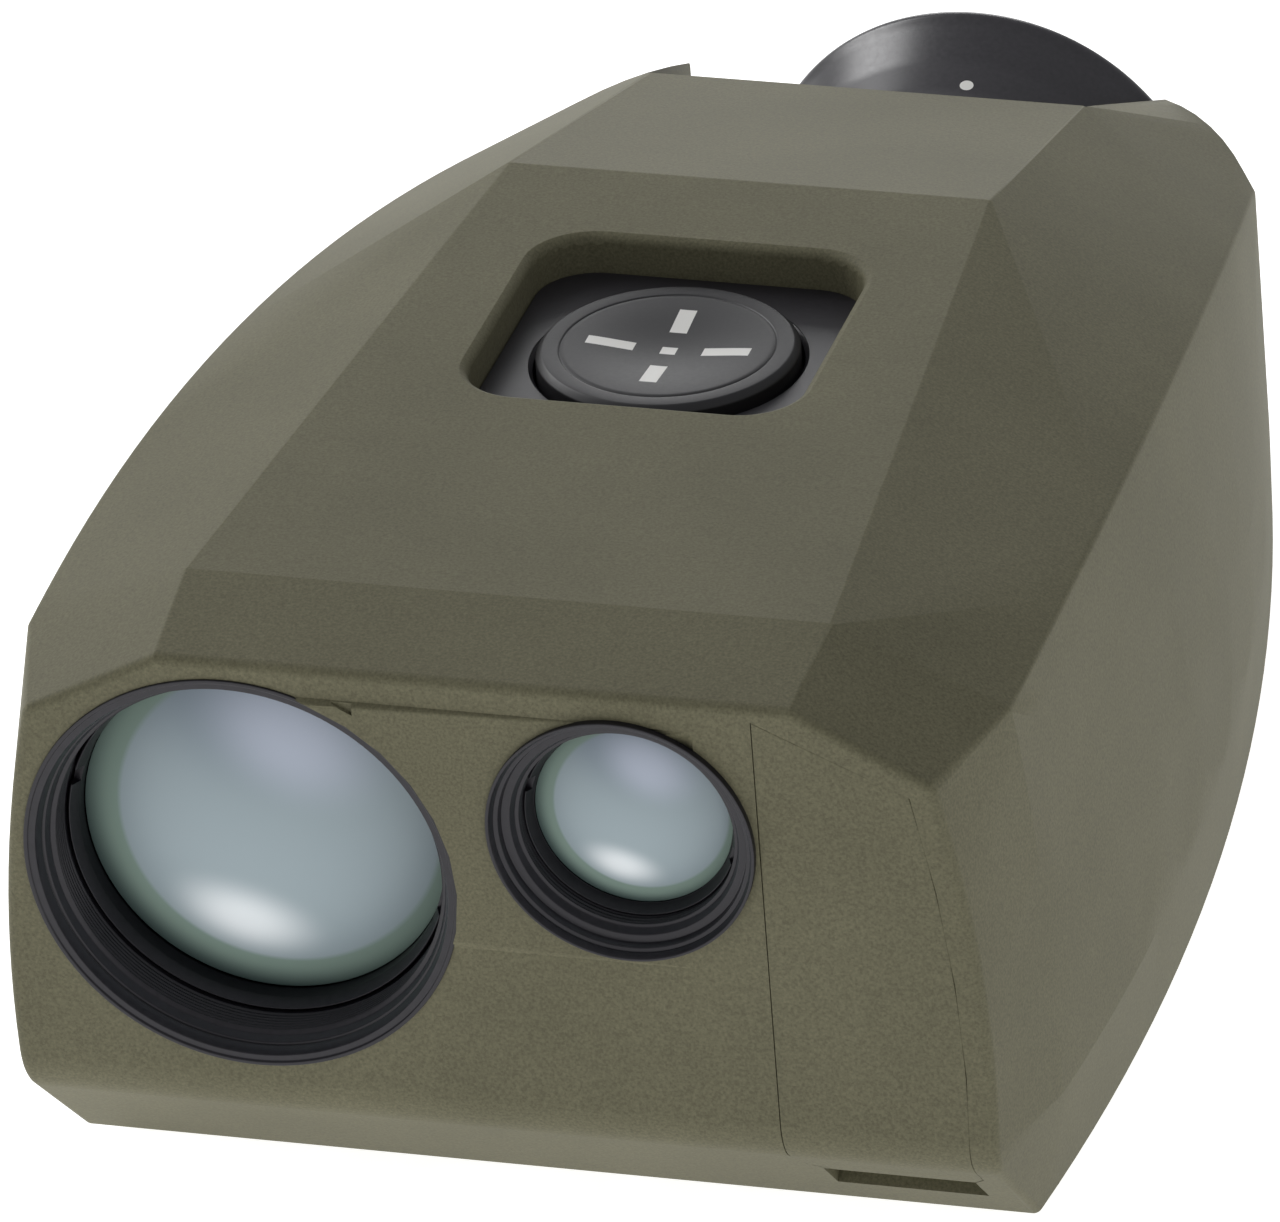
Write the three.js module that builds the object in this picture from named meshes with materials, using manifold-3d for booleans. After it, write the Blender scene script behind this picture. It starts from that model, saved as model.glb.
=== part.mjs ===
// A pocket laser rangefinder: a faceted olive body with a receiver objective and a sight
// objective in its face, a battery flap beside them, a thumb button in its roof and a
// dioptre eyecup between two ears at its tail.
//
// Millimetres. +X is the right of the face seen from in front, +Y runs back from the face,
// +Z is up. Everything is drawn with the face at y = 0 and the underside at z = 0; the last
// group moves the middle of the length to the origin.

import * as THREE from 'three';
import { ConvexGeometry } from 'three/addons/geometries/ConvexGeometry.js';
import { mergeVertices } from 'three/addons/utils/BufferGeometryUtils.js';
import Module from 'manifold-3d';

const wasm = await Module();
wasm.setup();

// ---- Driving dimensions ---------------------------------------------------------------

const GAP = 0.3; // between any two pieces that touch or nest
const BODY_LENGTH = 117.2; // face to the tips of the ears
const WALL = 2.2;
const FACE_WALL = 4;

// The face is as wide and as high as the things it holds.
const FACE_MARGIN = 2.0; // from the face's left edge to the receiver bore
const RECEIVER_BORE = 30.5;
const BORE_BRIDGE = 2.5; // between the two bores
const SIGHT_BORE = 18.5;
const FLAP_RIB = 0.6; // between the sight bore and the flap
const FLAP_WIDTH = 12.5; // at its widest
const FLAP_MARGIN = 2.4; // between the flap and the face's right edge
const CHIN_HEIGHT = 10.5; // the 45 degree facet under the face
const BASE_PROUD = 1.3; // the base cover stands this far below the housing
const UNDER_BORE = 3.05;
const OVER_BORE = 1.6;
const BROW_RISE = 0.95;
const BROW_LENGTH = 9.8;
const CORNER_TAKE = 2.3; // how far the face is inside the full section, each side
const SIGHT_DROP = 2.15; // top of the sight bore below the face's top edge
const PAD_HEIGHT = 0.4;

const ROOF_DROP = 2.9; // fall of the roof from the brow to the rear ridge
const TAIL_DROP = 9.5; // fall of the rear slope
const EAR_DROP = 8.2; // fall from the rear wall's top edge to the ear tips
const EAR_LENGTH = 16.0; // the ears behind the rear wall

const CELL_DIAMETER = 10.5;
const CELL_LENGTH = 43.7;
const CELL_NUB = 0.8;
const SLEEVE_WALL = 0.9;
const FLAP_THICKNESS = 1.6;
const FLAP_REACH = 3.4; // how far the flap bends onto the chin
const SCOOP_DEPTH = 1.5;

const RECESS_SIZE = 23.8;
const RECESS_RADIUS = 4.2;
const RECESS_DEPTH = 3.0;
const BUTTON_DIAMETER = 18.4;
const BUTTON_TRAVEL = 0.8;
const BUTTON_PROUD = 1.1; // button rim above the floor plate
const PLATE_THICKNESS = 1.6;

const EYECUP_DIAMETER = 33.4;
const EYE_TUBE_RADIUS = 11.6;
const EYECUP_SHORT = 0.9; // rim inside the ear tips
const EYE_AXIS_X = 4.2;
const EYECUP_LIFT = 0.5; // eyecup above the ground
const CELL_TRAVEL = 1.5; // of the eye-lens cell, each way

const COVER_THICKNESS = 2.6;
const COVER_INSET = 4;
const LEDGE_WIDTH = 2.6;
const LEDGE_THICKNESS = 2;
const REAR_COVER_THICKNESS = 2.4;
const SCREW_SHANK = 0.9;
const SCREW_HEAD = 1.8;
const TRIPOD_BORE = 3.175; // radius, a quarter-inch thread
const BOARD_THICKNESS = 1.2;

// Facets of a turned piece: large rims, ordinary rounds, and screws.
const RIM = 32;
const ROUND = 20;
const FINE = 10;

// ---- Sizes worked out from them -------------------------------------------------------

const FACE_HALF =
  (FACE_MARGIN + RECEIVER_BORE + BORE_BRIDGE + SIGHT_BORE + FLAP_RIB + FLAP_WIDTH + FLAP_MARGIN) / 2;
const SOLE_Z = BASE_PROUD;
const CHIN_Z = SOLE_Z + CHIN_HEIGHT;
const FACE_TOP = CHIN_Z + UNDER_BORE + RECEIVER_BORE + OVER_BORE;
const BROW_Z = FACE_TOP + BROW_RISE;
const REAR_WALL = BODY_LENGTH - EAR_LENGTH;
const RIDGE_Z = BROW_Z - ROOF_DROP;
const RIDGE_Y = BROW_LENGTH + (REAR_WALL - BROW_LENGTH) * 0.67;
const REAR_TOP = RIDGE_Z - TAIL_DROP;
const EAR_Z = REAR_TOP - EAR_DROP;
const EYE_Z = EYECUP_DIAMETER / 2 + EYECUP_LIFT;
const RECEIVER_X = -FACE_HALF + FACE_MARGIN + RECEIVER_BORE / 2;
const RECEIVER_Z = CHIN_Z + UNDER_BORE + RECEIVER_BORE / 2;
const SIGHT_X = RECEIVER_X + RECEIVER_BORE / 2 + BORE_BRIDGE + SIGHT_BORE / 2;
const SIGHT_Z = FACE_TOP - SIGHT_DROP - SIGHT_BORE / 2;
const FLAP_LEFT = SIGHT_X + SIGHT_BORE / 2 + FLAP_RIB;
const ROOF_TILT = Math.atan2(ROOF_DROP, RIDGE_Y - BROW_LENGTH);
const RECESS_Y = BROW_LENGTH + 0.65 * (RIDGE_Y - BROW_LENGTH);

// ---- Materials ------------------------------------------------------------------------

const finish = (color, roughness, metalness = 0) =>
  new THREE.MeshStandardMaterial({ color, roughness, metalness });

const OLIVE = () => finish('#64614c', 0.75);
const BLACK_METAL = () => finish('#1b1a1e', 0.45, 0.6);
const BLACK_PLASTIC = () => finish('#232227', 0.5);
const RUBBER = () => finish('#161616', 0.85);
const GLASS = () => finish('#8794a0', 0.05);
const STEEL = () => finish('#9a9a98', 0.35, 1);
const BRASS = () => finish('#b08d4a', 0.35, 1);
const CIRCUIT = () => finish('#20553a', 0.6);
const ALUMINIUM = () => finish('#a3a5a6', 0.4, 1);

// ---- Solids ---------------------------------------------------------------------------

// A closed three.js geometry as a solid that can be joined and cut.
function solid(geometry) {
  const bare = geometry.clone();
  bare.deleteAttribute('normal');
  bare.deleteAttribute('uv');
  const merged = mergeVertices(bare, 1e-4);
  const index = merged.index.array;
  const kept = [];
  for (let i = 0; i < index.length; i += 3) {
    const [a, b, c] = [index[i], index[i + 1], index[i + 2]];
    if (a !== b && b !== c && c !== a) kept.push(a, b, c);
  }
  return new wasm.Manifold(
    new wasm.Mesh({
      numProp: 3,
      vertProperties: merged.attributes.position.array,
      triVerts: new Uint32Array(kept),
    }),
  );
}

function geometryOf(manifold) {
  const made = manifold.getMesh();
  const geometry = new THREE.BufferGeometry();
  geometry.setAttribute('position', new THREE.BufferAttribute(made.vertProperties, made.numProp));
  geometry.setIndex(new THREE.BufferAttribute(made.triVerts, 1));
  const flat = geometry.toNonIndexed();
  flat.computeVertexNormals();
  return flat;
}

const joined = (first, ...rest) => rest.reduce((all, one) => all.add(one), first);
const cut = (first, ...rest) => rest.reduce((left, one) => left.subtract(one), first);

const root = new THREE.Group();
const shifted = new THREE.Group();
root.add(shifted);

function add(name, shape, material) {
  const geometry = shape.isBufferGeometry ? shape : geometryOf(shape);
  const mesh = new THREE.Mesh(geometry, material);
  mesh.name = name;
  shifted.add(mesh);
}

// A closed outline of [radius, y] points turned about the Y direction through (x, 0, z).
function turned(outline, x = 0, z = 0, segments = ROUND) {
  const points = [...outline, outline[0]].map(([radius, y]) => new THREE.Vector2(radius, y));
  return solid(new THREE.LatheGeometry(points, segments).translate(x, 0, z));
}

function rod(radius, from, to, x, z, segments = ROUND) {
  const shape = new THREE.CylinderGeometry(radius, radius, to - from, segments);
  return solid(shape.translate(x, (from + to) / 2, z));
}

// An upright outline of [radius, z] points turned about the vertical through (x, y).
function upright(outline, x, y, segments = FINE) {
  const points = [...outline, outline[0]].map(([radius, z]) => new THREE.Vector2(radius, z));
  return solid(new THREE.LatheGeometry(points, segments).rotateX(Math.PI / 2).translate(x, y, 0));
}

function box(low, high) {
  const size = high.map((value, i) => value - low[i]);
  const middle = high.map((value, i) => (value + low[i]) / 2);
  return solid(new THREE.BoxGeometry(...size).translate(...middle));
}

// Drawn in X and Z, thickened along Y.
function frontSlab(shape, from, to) {
  const slab = new THREE.ExtrudeGeometry(shape, {
    depth: to - from,
    bevelEnabled: false,
    curveSegments: 3,
  });
  return solid(slab.rotateX(Math.PI / 2).translate(0, to, 0));
}

// Drawn in X and Y, thickened along Z.
function flatSlab(shape, from, to) {
  const slab = new THREE.ExtrudeGeometry(shape, {
    depth: to - from,
    bevelEnabled: false,
    curveSegments: 3,
  });
  return solid(slab.translate(0, 0, from));
}

// Drawn in Y and Z, thickened along X.
function sideSlab(points, from, to) {
  const shape = new THREE.Shape(points.map(([y, z]) => new THREE.Vector2(y, z)));
  const slab = new THREE.ExtrudeGeometry(shape, { depth: to - from, bevelEnabled: false });
  slab.rotateY(Math.PI / 2).rotateX(Math.PI / 2);
  return solid(slab.translate(from, 0, 0));
}

function roundedSquare(half, radius, x = 0, y = 0) {
  return roundedBox(x - half, y - half, x + half, y + half, radius);
}

function roundedBox(left, low, right, high, radius) {
  const shape = new THREE.Shape();
  shape.moveTo(left + radius, low);
  shape.lineTo(right - radius, low);
  shape.absarc(right - radius, low + radius, radius, -Math.PI / 2, 0);
  shape.lineTo(right, high - radius);
  shape.absarc(right - radius, high - radius, radius, 0, Math.PI / 2);
  shape.lineTo(left + radius, high);
  shape.absarc(left + radius, high - radius, radius, Math.PI / 2, Math.PI);
  shape.lineTo(left, low + radius);
  shape.absarc(left + radius, low + radius, radius, Math.PI, Math.PI * 1.5);
  return shape;
}

// ---- The body's form ------------------------------------------------------------------

// A half width that swells to its peak at one station and falls away to the tail.
const swelling = (peak, station, tail) => (y) =>
  peak - (peak - tail) * ((y - station) / (TAIL_Y - station)) ** 2;

const TAIL_Y = REAR_WALL + 3.8;
const TAIL_HALF = FACE_HALF * 0.8;
const EAR_HALF = FACE_HALF * 0.523;
const soleHalf = swelling(FACE_HALF * 1.05, BODY_LENGTH * 0.35, TAIL_HALF);
const shoulderHalf = swelling(FACE_HALF * 1.098, BODY_LENGTH * 0.31, TAIL_HALF);
const creaseHalf = swelling(FACE_HALF * 1.006, BODY_LENGTH * 0.2, TAIL_HALF);
const CREASE_Z = BROW_Z - 5.8;
const creaseZ = (y) =>
  CREASE_Z - (CREASE_Z - EAR_Z) * (Math.max(0, y - BODY_LENGTH * 0.13) / (TAIL_Y - BODY_LENGTH * 0.13)) ** 2;

// Half width of the face at a height, an arc between the chin and the brow corner.
const FACE_CORNER_X = FACE_HALF * 0.922;
const FACE_CORNER_Z = FACE_TOP - 5.1;
const faceHalf = (z) =>
  FACE_HALF + 0.2 - (FACE_HALF + 0.2 - FACE_CORNER_X) * ((z - CHIN_Z - 5.7) / (FACE_CORNER_Z - CHIN_Z - 5.7)) ** 2;

// Half width of a full section at station y and height z.
function sideHalf(y, z) {
  const top = creaseZ(y);
  const rise = Math.max(0, (z - CHIN_Z) / (top - CHIN_Z));
  if (z >= CHIN_Z) return shoulderHalf(y) - (shoulderHalf(y) - creaseHalf(y)) * rise ** 2;
  return soleHalf(y) + (shoulderHalf(y) - soleHalf(y)) * ((z - SOLE_Z) / (CHIN_Z - SOLE_Z));
}

const RIDGE = [
  [BROW_LENGTH, FACE_HALF * 0.658, BROW_Z],
  [RIDGE_Y, FACE_HALF * 0.513, RIDGE_Z],
  [REAR_WALL, FACE_HALF * 0.474, REAR_TOP],
];

// The convex body, drawn in by `inset` on every side, between two stations.
function bodyForm(inset, front, rear, bottom) {
  const points = [];
  const both = (x, y, z) => points.push(new THREE.Vector3(x, y, z), new THREE.Vector3(-x, y, z));
  const chinInset = inset * (Math.SQRT2 - 1);
  if (front < BROW_LENGTH) {
    const share = front / BROW_LENGTH;
    const grow = CORNER_TAKE * share;
    both(FACE_HALF * 0.643 - inset * 0.4, front, FACE_TOP + BROW_RISE * share - inset);
    both(FACE_CORNER_X + grow - inset, front, FACE_CORNER_Z - inset * 0.6);
    const chin = Math.max(bottom, CHIN_Z - front + inset + chinInset);
    const rise = FACE_CORNER_Z - CHIN_Z;
    for (const part of [0.2, 0.4, 0.6, 0.8]) {
      const z = CHIN_Z + rise * part;
      both(faceHalf(z) + grow - inset, front, z);
    }
    both(faceHalf(CHIN_Z) + grow - inset, front, chin);
  }
  const stations = [10.4, 22, 34, 46, 58, 70, 82, 94].map((y) => (y * REAR_WALL) / 101.2);
  for (const y of [...stations, TAIL_Y].filter((station) => station > front)) {
    const at = Math.min(y, rear);
    const top = creaseZ(at);
    both(creaseHalf(at) - inset, at, top - inset * 0.6);
    for (const z of [CHIN_Z, CHIN_Z + (top - CHIN_Z) * 0.35, CHIN_Z + (top - CHIN_Z) * 0.7]) {
      both(sideHalf(at, z) - inset, at, z);
    }
    const low = at < BROW_LENGTH + 2 ? Math.max(bottom, SOLE_Z + inset * 2) : bottom;
    both(sideHalf(at, Math.max(low, SOLE_Z)) - inset, at, low);
  }
  for (const [y, x, z] of RIDGE) both(x - inset * 0.4, Math.min(y, rear), z - inset);
  if (rear >= BODY_LENGTH) {
    const corner = new THREE.QuadraticBezierCurve(
      new THREE.Vector2(TAIL_HALF, TAIL_Y),
      new THREE.Vector2(TAIL_HALF * 0.83, BODY_LENGTH - 2.3),
      new THREE.Vector2(EAR_HALF, BODY_LENGTH),
    );
    for (const { x, y } of corner.getPoints(4)) {
      both(x, y, SOLE_Z);
      both(x, y, EAR_Z);
    }
  }
  return solid(new ConvexGeometry(points));
}

// The underside's outline, drawn in by `inset`.
function soleOutline(inset, front, rear) {
  const steps = 7;
  const side = [];
  for (let i = 0; i <= steps; i += 1) {
    const y = front + ((rear - front) * i) / steps;
    side.push(new THREE.Vector2(soleHalf(y) - inset, y));
  }
  const corner = 4;
  const first = new THREE.Vector2(side[0].x - corner, front - corner / 2);
  const last = new THREE.Vector2(side[steps].x - corner, rear + corner / 2);
  const right = [first, ...side, last];
  const left = right.map(({ x, y }) => new THREE.Vector2(-x, y)).reverse();
  return new THREE.Shape([...right, ...left]);
}

// ---- Places used by several pieces ----------------------------------------------------

const COVER_FRONT = SOLE_Z + CHIN_HEIGHT + 5.5;
const COVER_REAR = REAR_WALL - 7;
const COVER_TOP = COVER_THICKNESS;
const LEDGE_TOP = COVER_TOP + GAP + LEDGE_THICKNESS;
const CAVITY_REAR = REAR_WALL - REAR_COVER_THICKNESS - GAP - 2.2;
const BASE_SCREWS = [
  [-1, COVER_FRONT + 4],
  [1, COVER_FRONT + 4],
  [-1, COVER_REAR - 4],
  [1, COVER_REAR - 4],
].map(([side, y]) => [side * (soleHalf(y) - COVER_INSET - 4.5), y]);
const TRIPOD_Y = RECESS_Y + 3;

const SLEEVE_RADIUS = CELL_DIAMETER / 2 + GAP + SLEEVE_WALL;
const CELL_X = FLAP_LEFT + SLEEVE_RADIUS - 0.75;
const CELL_PITCH = CELL_DIAMETER + 1.5;
const LOWER_CELL_Z = CHIN_Z + SLEEVE_RADIUS + 0.7;
const UPPER_CELL_Z = LOWER_CELL_Z + CELL_PITCH;
const SLEEVE_FRONT = 3.4;
const CELL_FRONT = SLEEVE_FRONT;
const SLEEVE_REAR = CELL_FRONT + CELL_LENGTH + CELL_NUB + 1.6;
const BULKHEAD_Y = 11;
const BULKHEAD_THICKNESS = 2.5;

// Two stacked rounds and what lies between them, as the battery bay's outline.
function bayOutline(radius) {
  return roundedBox(
    CELL_X - radius,
    LOWER_CELL_Z - radius,
    CELL_X + radius,
    UPPER_CELL_Z + radius,
    radius,
  );
}

function frontShape(points) {
  return new THREE.Shape(points.map(([x, z]) => new THREE.Vector2(x, z)));
}

// ---- Battery flap ---------------------------------------------------------------------

const FLAP_TOP_LEFT = FACE_TOP - 1.75;
const FLAP_SLOPE = 0.468; // fall of its top edge, along the brow corner's edge

// The flap's outline seen from in front, grown by `extra`, down past the chin.
function flapOutline(extra) {
  const left = FLAP_LEFT - extra;
  const foot = CHIN_Z - FLAP_REACH - extra;
  const points = [];
  const corner = 2.6;
  points.push([left + corner, foot], [left + corner * 0.3, foot + corner * 0.3], [left, foot + corner]);
  points.push([left, FLAP_TOP_LEFT + extra + FLAP_SLOPE * extra]);
  const rightAt = (z) => faceHalf(z) - FLAP_MARGIN + extra;
  const meet = FLAP_TOP_LEFT - FLAP_SLOPE * (rightAt(FACE_CORNER_Z) - FLAP_LEFT) + extra;
  for (const part of [0, 0.25, 0.5, 0.75, 1]) {
    const z = meet + (CHIN_Z - meet) * part;
    points.push([rightAt(z), z]);
  }
  points.push([rightAt(CHIN_Z), foot + 0.8], [rightAt(CHIN_Z) - 0.8, foot]);
  return frontShape(points);
}

// Its section: a plate on the face that bends back over the chin.
function flapSection(depth) {
  const bend = depth * (Math.SQRT2 - 1);
  const below = FLAP_REACH + 4;
  return [
    [0, FACE_TOP + 2],
    [0, CHIN_Z],
    [below, CHIN_Z - below],
    [below + depth * Math.SQRT1_2, CHIN_Z - below + depth * Math.SQRT1_2],
    [depth, CHIN_Z + bend],
    [depth, FACE_TOP + 2],
  ];
}

const flapPlate = sideSlab(flapSection(FLAP_THICKNESS), FLAP_LEFT - 5, FACE_HALF + 5);

// The pocket's section reaches 2 mm out of the face, so that it cuts right through it.
const flapPocket = sideSlab(
  flapSection(FLAP_THICKNESS + GAP).map(([y, z]) => [y > 0 ? y : -2, y > 0 || z > CHIN_Z ? z : z - 2]),
  FLAP_LEFT - 5,
  FACE_HALF + 5,
);

function batteryFlap() {
  const outline = frontSlab(flapOutline(0), -3, 20);
  // Its upper left corner is thinned, because that corner swings towards the pocket's side.
  const relief = box(
    [FLAP_LEFT - 1, 0.5, FLAP_TOP_LEFT - 2.4],
    [FLAP_LEFT + 0.6, FLAP_THICKNESS + 1, FLAP_TOP_LEFT + 2],
  );
  add('battery_flap', cut(flapPlate.intersect(outline), relief), OLIVE());

  const sealOuter = frontSlab(bayOutline(SLEEVE_RADIUS - 0.75), FLAP_THICKNESS + GAP, SLEEVE_FRONT - GAP);
  const sealInner = frontSlab(bayOutline(SLEEVE_RADIUS - 1.75), 0, 20);
  add('flap_seal', cut(sealOuter, sealInner), RUBBER());

  const strip = roundedBox(CELL_X - 2.6, LOWER_CELL_Z - 3, CELL_X + 2.6, UPPER_CELL_Z + 3, 1.5);
  add('flap_contact', frontSlab(strip, FLAP_THICKNESS + GAP, CELL_FRONT - GAP), BRASS());
}

// ---- Button, drawn level and then laid on the sloping roof ------------------------------

function onRoof(manifold) {
  const lay = new THREE.Matrix4().makeRotationX(-ROOF_TILT);
  const height = BROW_Z - Math.tan(ROOF_TILT) * (RECESS_Y - BROW_LENGTH);
  lay.setPosition(0, RECESS_Y, height);
  return manifold.transform(lay.elements);
}

const PLATE_TOP = -RECESS_DEPTH;
const PLATE_BOTTOM = PLATE_TOP - PLATE_THICKNESS;
const WELL_BOTTOM = PLATE_BOTTOM - GAP - 1.2;
const BUTTON_TOP = PLATE_TOP + BUTTON_PROUD;
const BUTTON_BOTTOM = PLATE_BOTTOM - 0.3;
const BUTTON_RADIUS = BUTTON_DIAMETER / 2;
const MEMBRANE_TOP = WELL_BOTTOM - GAP;
const PLUNGER_BOTTOM = MEMBRANE_TOP - 1.2;
const SWITCH_TOP = PLUNGER_BOTTOM - BUTTON_TRAVEL - GAP;
const SWITCH_BOTTOM = SWITCH_TOP - 2.6;

function button() {
  const cap = upright(
    [
      [0, BUTTON_TOP - 0.5],
      [3.5, BUTTON_TOP - 0.4],
      [6.2, BUTTON_TOP - 0.15],
      [BUTTON_RADIUS - 1.3, BUTTON_TOP - 0.05],
      [BUTTON_RADIUS - 0.8, BUTTON_TOP],
      [BUTTON_RADIUS - 0.2, BUTTON_TOP - 0.15],
      [BUTTON_RADIUS, BUTTON_TOP - 0.5],
      [BUTTON_RADIUS, BUTTON_BOTTOM],
      [2, BUTTON_BOTTOM],
      [2, PLUNGER_BOTTOM],
      [0, PLUNGER_BOTTOM],
    ].reverse(),
    0,
    0,
    RIM,
  );
  add('fire_button', onRoof(cap), BLACK_PLASTIC());

  const hole = upright(
    [
      [0, PLATE_BOTTOM - 1],
      [BUTTON_RADIUS + 0.45, PLATE_BOTTOM - 1],
      [BUTTON_RADIUS + 0.45, PLATE_TOP + 1],
      [0, PLATE_TOP + 1],
    ],
    0,
    0,
    RIM,
  );
  const plate = flatSlab(roundedSquare(RECESS_SIZE / 2 - GAP, RECESS_RADIUS - GAP), PLATE_BOTTOM, PLATE_TOP);
  add('button_plate', onRoof(cut(plate, hole)), BLACK_PLASTIC());

  const plungerHole = flatSlab(roundedSquare(2.6, 1), MEMBRANE_TOP - 2, MEMBRANE_TOP + 2);
  const sheet = flatSlab(roundedSquare(RECESS_SIZE / 2 - 1, RECESS_RADIUS), MEMBRANE_TOP - 0.6, MEMBRANE_TOP);
  add('button_membrane', onRoof(cut(sheet, plungerHole)), RUBBER());

  add('button_switch', onRoof(flatSlab(roundedSquare(3, 0.5), SWITCH_BOTTOM, SWITCH_TOP)), BLACK_METAL());
  const boardTop = SWITCH_BOTTOM - GAP;
  const board = roundedBox(-9, -6, 9, 7, 1);
  add('switch_board', onRoof(flatSlab(board, boardTop - BOARD_THICKNESS, boardTop)), CIRCUIT());
}

// ---- Housing --------------------------------------------------------------------------

const PLUG = RECEIVER_BORE / 2 + 1.05;

function facePad() {
  const receiver = rod(PLUG, -PAD_HEIGHT, 1, RECEIVER_X, RECEIVER_Z, RIM);
  const sight = rod(SIGHT_BORE / 2 + FLAP_RIB - 0.3, -PAD_HEIGHT, 1, SIGHT_X, SIGHT_Z);
  const top = SIGHT_Z + SIGHT_BORE / 2;
  const low = SIGHT_Z - SIGHT_BORE / 2 - 0.7;
  const bridge = box([RECEIVER_X + 9, -PAD_HEIGHT, low], [SIGHT_X, 1, top]);
  return joined(receiver, sight, bridge);
}

// The space between the ears: tapered walls, and room for the eyecup to turn.
function tailNotch() {
  const start = RIDGE[2][1];
  const shape = new THREE.Shape([
    new THREE.Vector2(-start, REAR_WALL),
    new THREE.Vector2(start, REAR_WALL),
    new THREE.Vector2(EAR_HALF + 0.1, BODY_LENGTH + 1),
    new THREE.Vector2(-EAR_HALF - 0.1, BODY_LENGTH + 1),
  ]);
  const gap = flatSlab(shape, -1, BROW_Z);
  const swing = rod(EYECUP_DIAMETER / 2 + 0.4, REAR_WALL, BODY_LENGTH + 5, EYE_AXIS_X, EYE_Z, RIM);
  return joined(gap, swing);
}

const REAR_SCREWS = [
  [-RIDGE[2][1] + 3.8, REAR_TOP - 5],
  [-RIDGE[2][1] + 3.8, SOLE_Z + 4.6],
  [RIDGE[2][1] - 3.2, REAR_TOP - 4.6],
];

function rearCoverOutline(extra) {
  const half = RIDGE[2][1] - 0.9 + extra;
  const plate = roundedBox(-half, SOLE_Z + 2 - extra, half, REAR_TOP - 2 + extra, 3);
  return (from, to) =>
    joined(
      frontSlab(plate, from, to),
      rod(EYE_TUBE_RADIUS + 4.7 + extra, from, to, EYE_AXIS_X, EYE_Z, RIM),
    ).intersect(box([-60, from, SOLE_Z + 1.4 - extra], [60, to, REAR_TOP]));
}

function housing() {
  const outside = joined(bodyForm(0, 0, BODY_LENGTH, SOLE_Z), facePad());
  const cavity = bodyForm(WALL, FACE_WALL, CAVITY_REAR, LEDGE_TOP);
  const opening = flatSlab(
    soleOutline(COVER_INSET + LEDGE_WIDTH, COVER_FRONT + 2, COVER_REAR - 2),
    COVER_TOP,
    LEDGE_TOP + 1,
  );
  const coverSeat = flatSlab(soleOutline(COVER_INSET - GAP, COVER_FRONT - GAP, COVER_REAR + GAP), -1, COVER_TOP + GAP);
  const receiverBore = rod(RECEIVER_BORE / 2, -2, FACE_WALL + 8, RECEIVER_X, RECEIVER_Z, RIM);
  const sightBore = rod(SIGHT_BORE / 2, -2, FACE_WALL + 8, SIGHT_X, SIGHT_Z, RIM);
  const bay = frontSlab(bayOutline(SLEEVE_RADIUS + GAP), FLAP_THICKNESS + 0.2, FACE_WALL + 8);
  const pocket = flapPocket.intersect(frontSlab(flapOutline(GAP), -3, 20));
  const well = onRoof(flatSlab(roundedSquare(RECESS_SIZE / 2 + 2, RECESS_RADIUS), WELL_BOTTOM, -1));
  const recess = onRoof(flatSlab(roundedSquare(RECESS_SIZE / 2, RECESS_RADIUS), PLATE_BOTTOM - GAP, 4));
  const wellHole = onRoof(flatSlab(roundedSquare(RECESS_SIZE / 2 - 2, 3), WELL_BOTTOM - 1, 0));
  const rearSeat = rearCoverOutline(GAP)(REAR_WALL - REAR_COVER_THICKNESS - GAP, REAR_WALL + 1);
  const rearHole = rod(EYE_TUBE_RADIUS + 2.3, CAVITY_REAR - 1, REAR_WALL, EYE_AXIS_X, EYE_Z, RIM);
  const scoop = fingerScoop();

  let shell = cut(outside, cavity, opening, coverSeat, receiverBore, sightBore, bay, pocket);
  shell = cut(joined(shell, well), recess, wellHole, rearSeat, rearHole, tailNotch(), scoop);
  for (const [x, y] of BASE_SCREWS) {
    const boss = upright([[0, COVER_TOP + GAP], [3, COVER_TOP + GAP], [3, 9], [0, 9]], x, y);
    const hole = upright([[0, 0], [SCREW_SHANK + GAP, 0], [SCREW_SHANK + GAP, 8], [0, 8]], x, y);
    shell = cut(joined(shell, boss), hole);
  }
  for (const [x, z] of REAR_SCREWS) {
    shell = cut(shell, rod(SCREW_SHANK + GAP, CAVITY_REAR - 1, REAR_WALL, x, z, FINE));
  }
  for (const [x, z] of BULKHEAD_SCREWS) {
    const post = rod(2.6, FACE_WALL - 0.5, BULKHEAD_Y - GAP, x, z, FINE);
    const hole = rod(SCREW_SHANK + GAP, FACE_WALL + 1, BULKHEAD_Y, x, z, FINE);
    shell = cut(joined(shell, post), hole);
  }
  add('main_housing', shell, OLIVE());
}

// A finger hollow in the chin below the flap. Its floor is parallel to the chin and its
// lower wall stands square to it, for a nail to bear on.
function fingerScoop() {
  const start = FLAP_REACH + GAP;
  const length = 4.4 * Math.SQRT1_2;
  const depth = SCOOP_DEPTH * Math.SQRT1_2;
  const outside = 1;
  const section = [
    [start - outside, CHIN_Z - start - outside],
    [start + depth, CHIN_Z - start + depth],
    [start + length + depth, CHIN_Z - start - length + depth],
    [start + length - outside, CHIN_Z - start - length - outside],
  ];
  return sideSlab(section, FLAP_LEFT + 1.4, FLAP_LEFT + FLAP_WIDTH - 0.5);
}

// ---- Covers and fasteners ---------------------------------------------------------------

// A countersunk screw that points up: its head's underside is the lower end.
function screwOutline(head, tip) {
  return [
    [0, head],
    [SCREW_HEAD, head],
    [SCREW_HEAD, head + 0.4],
    [SCREW_SHANK, head + 1.2],
    [SCREW_SHANK, tip],
    [0, tip],
  ];
}

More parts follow.
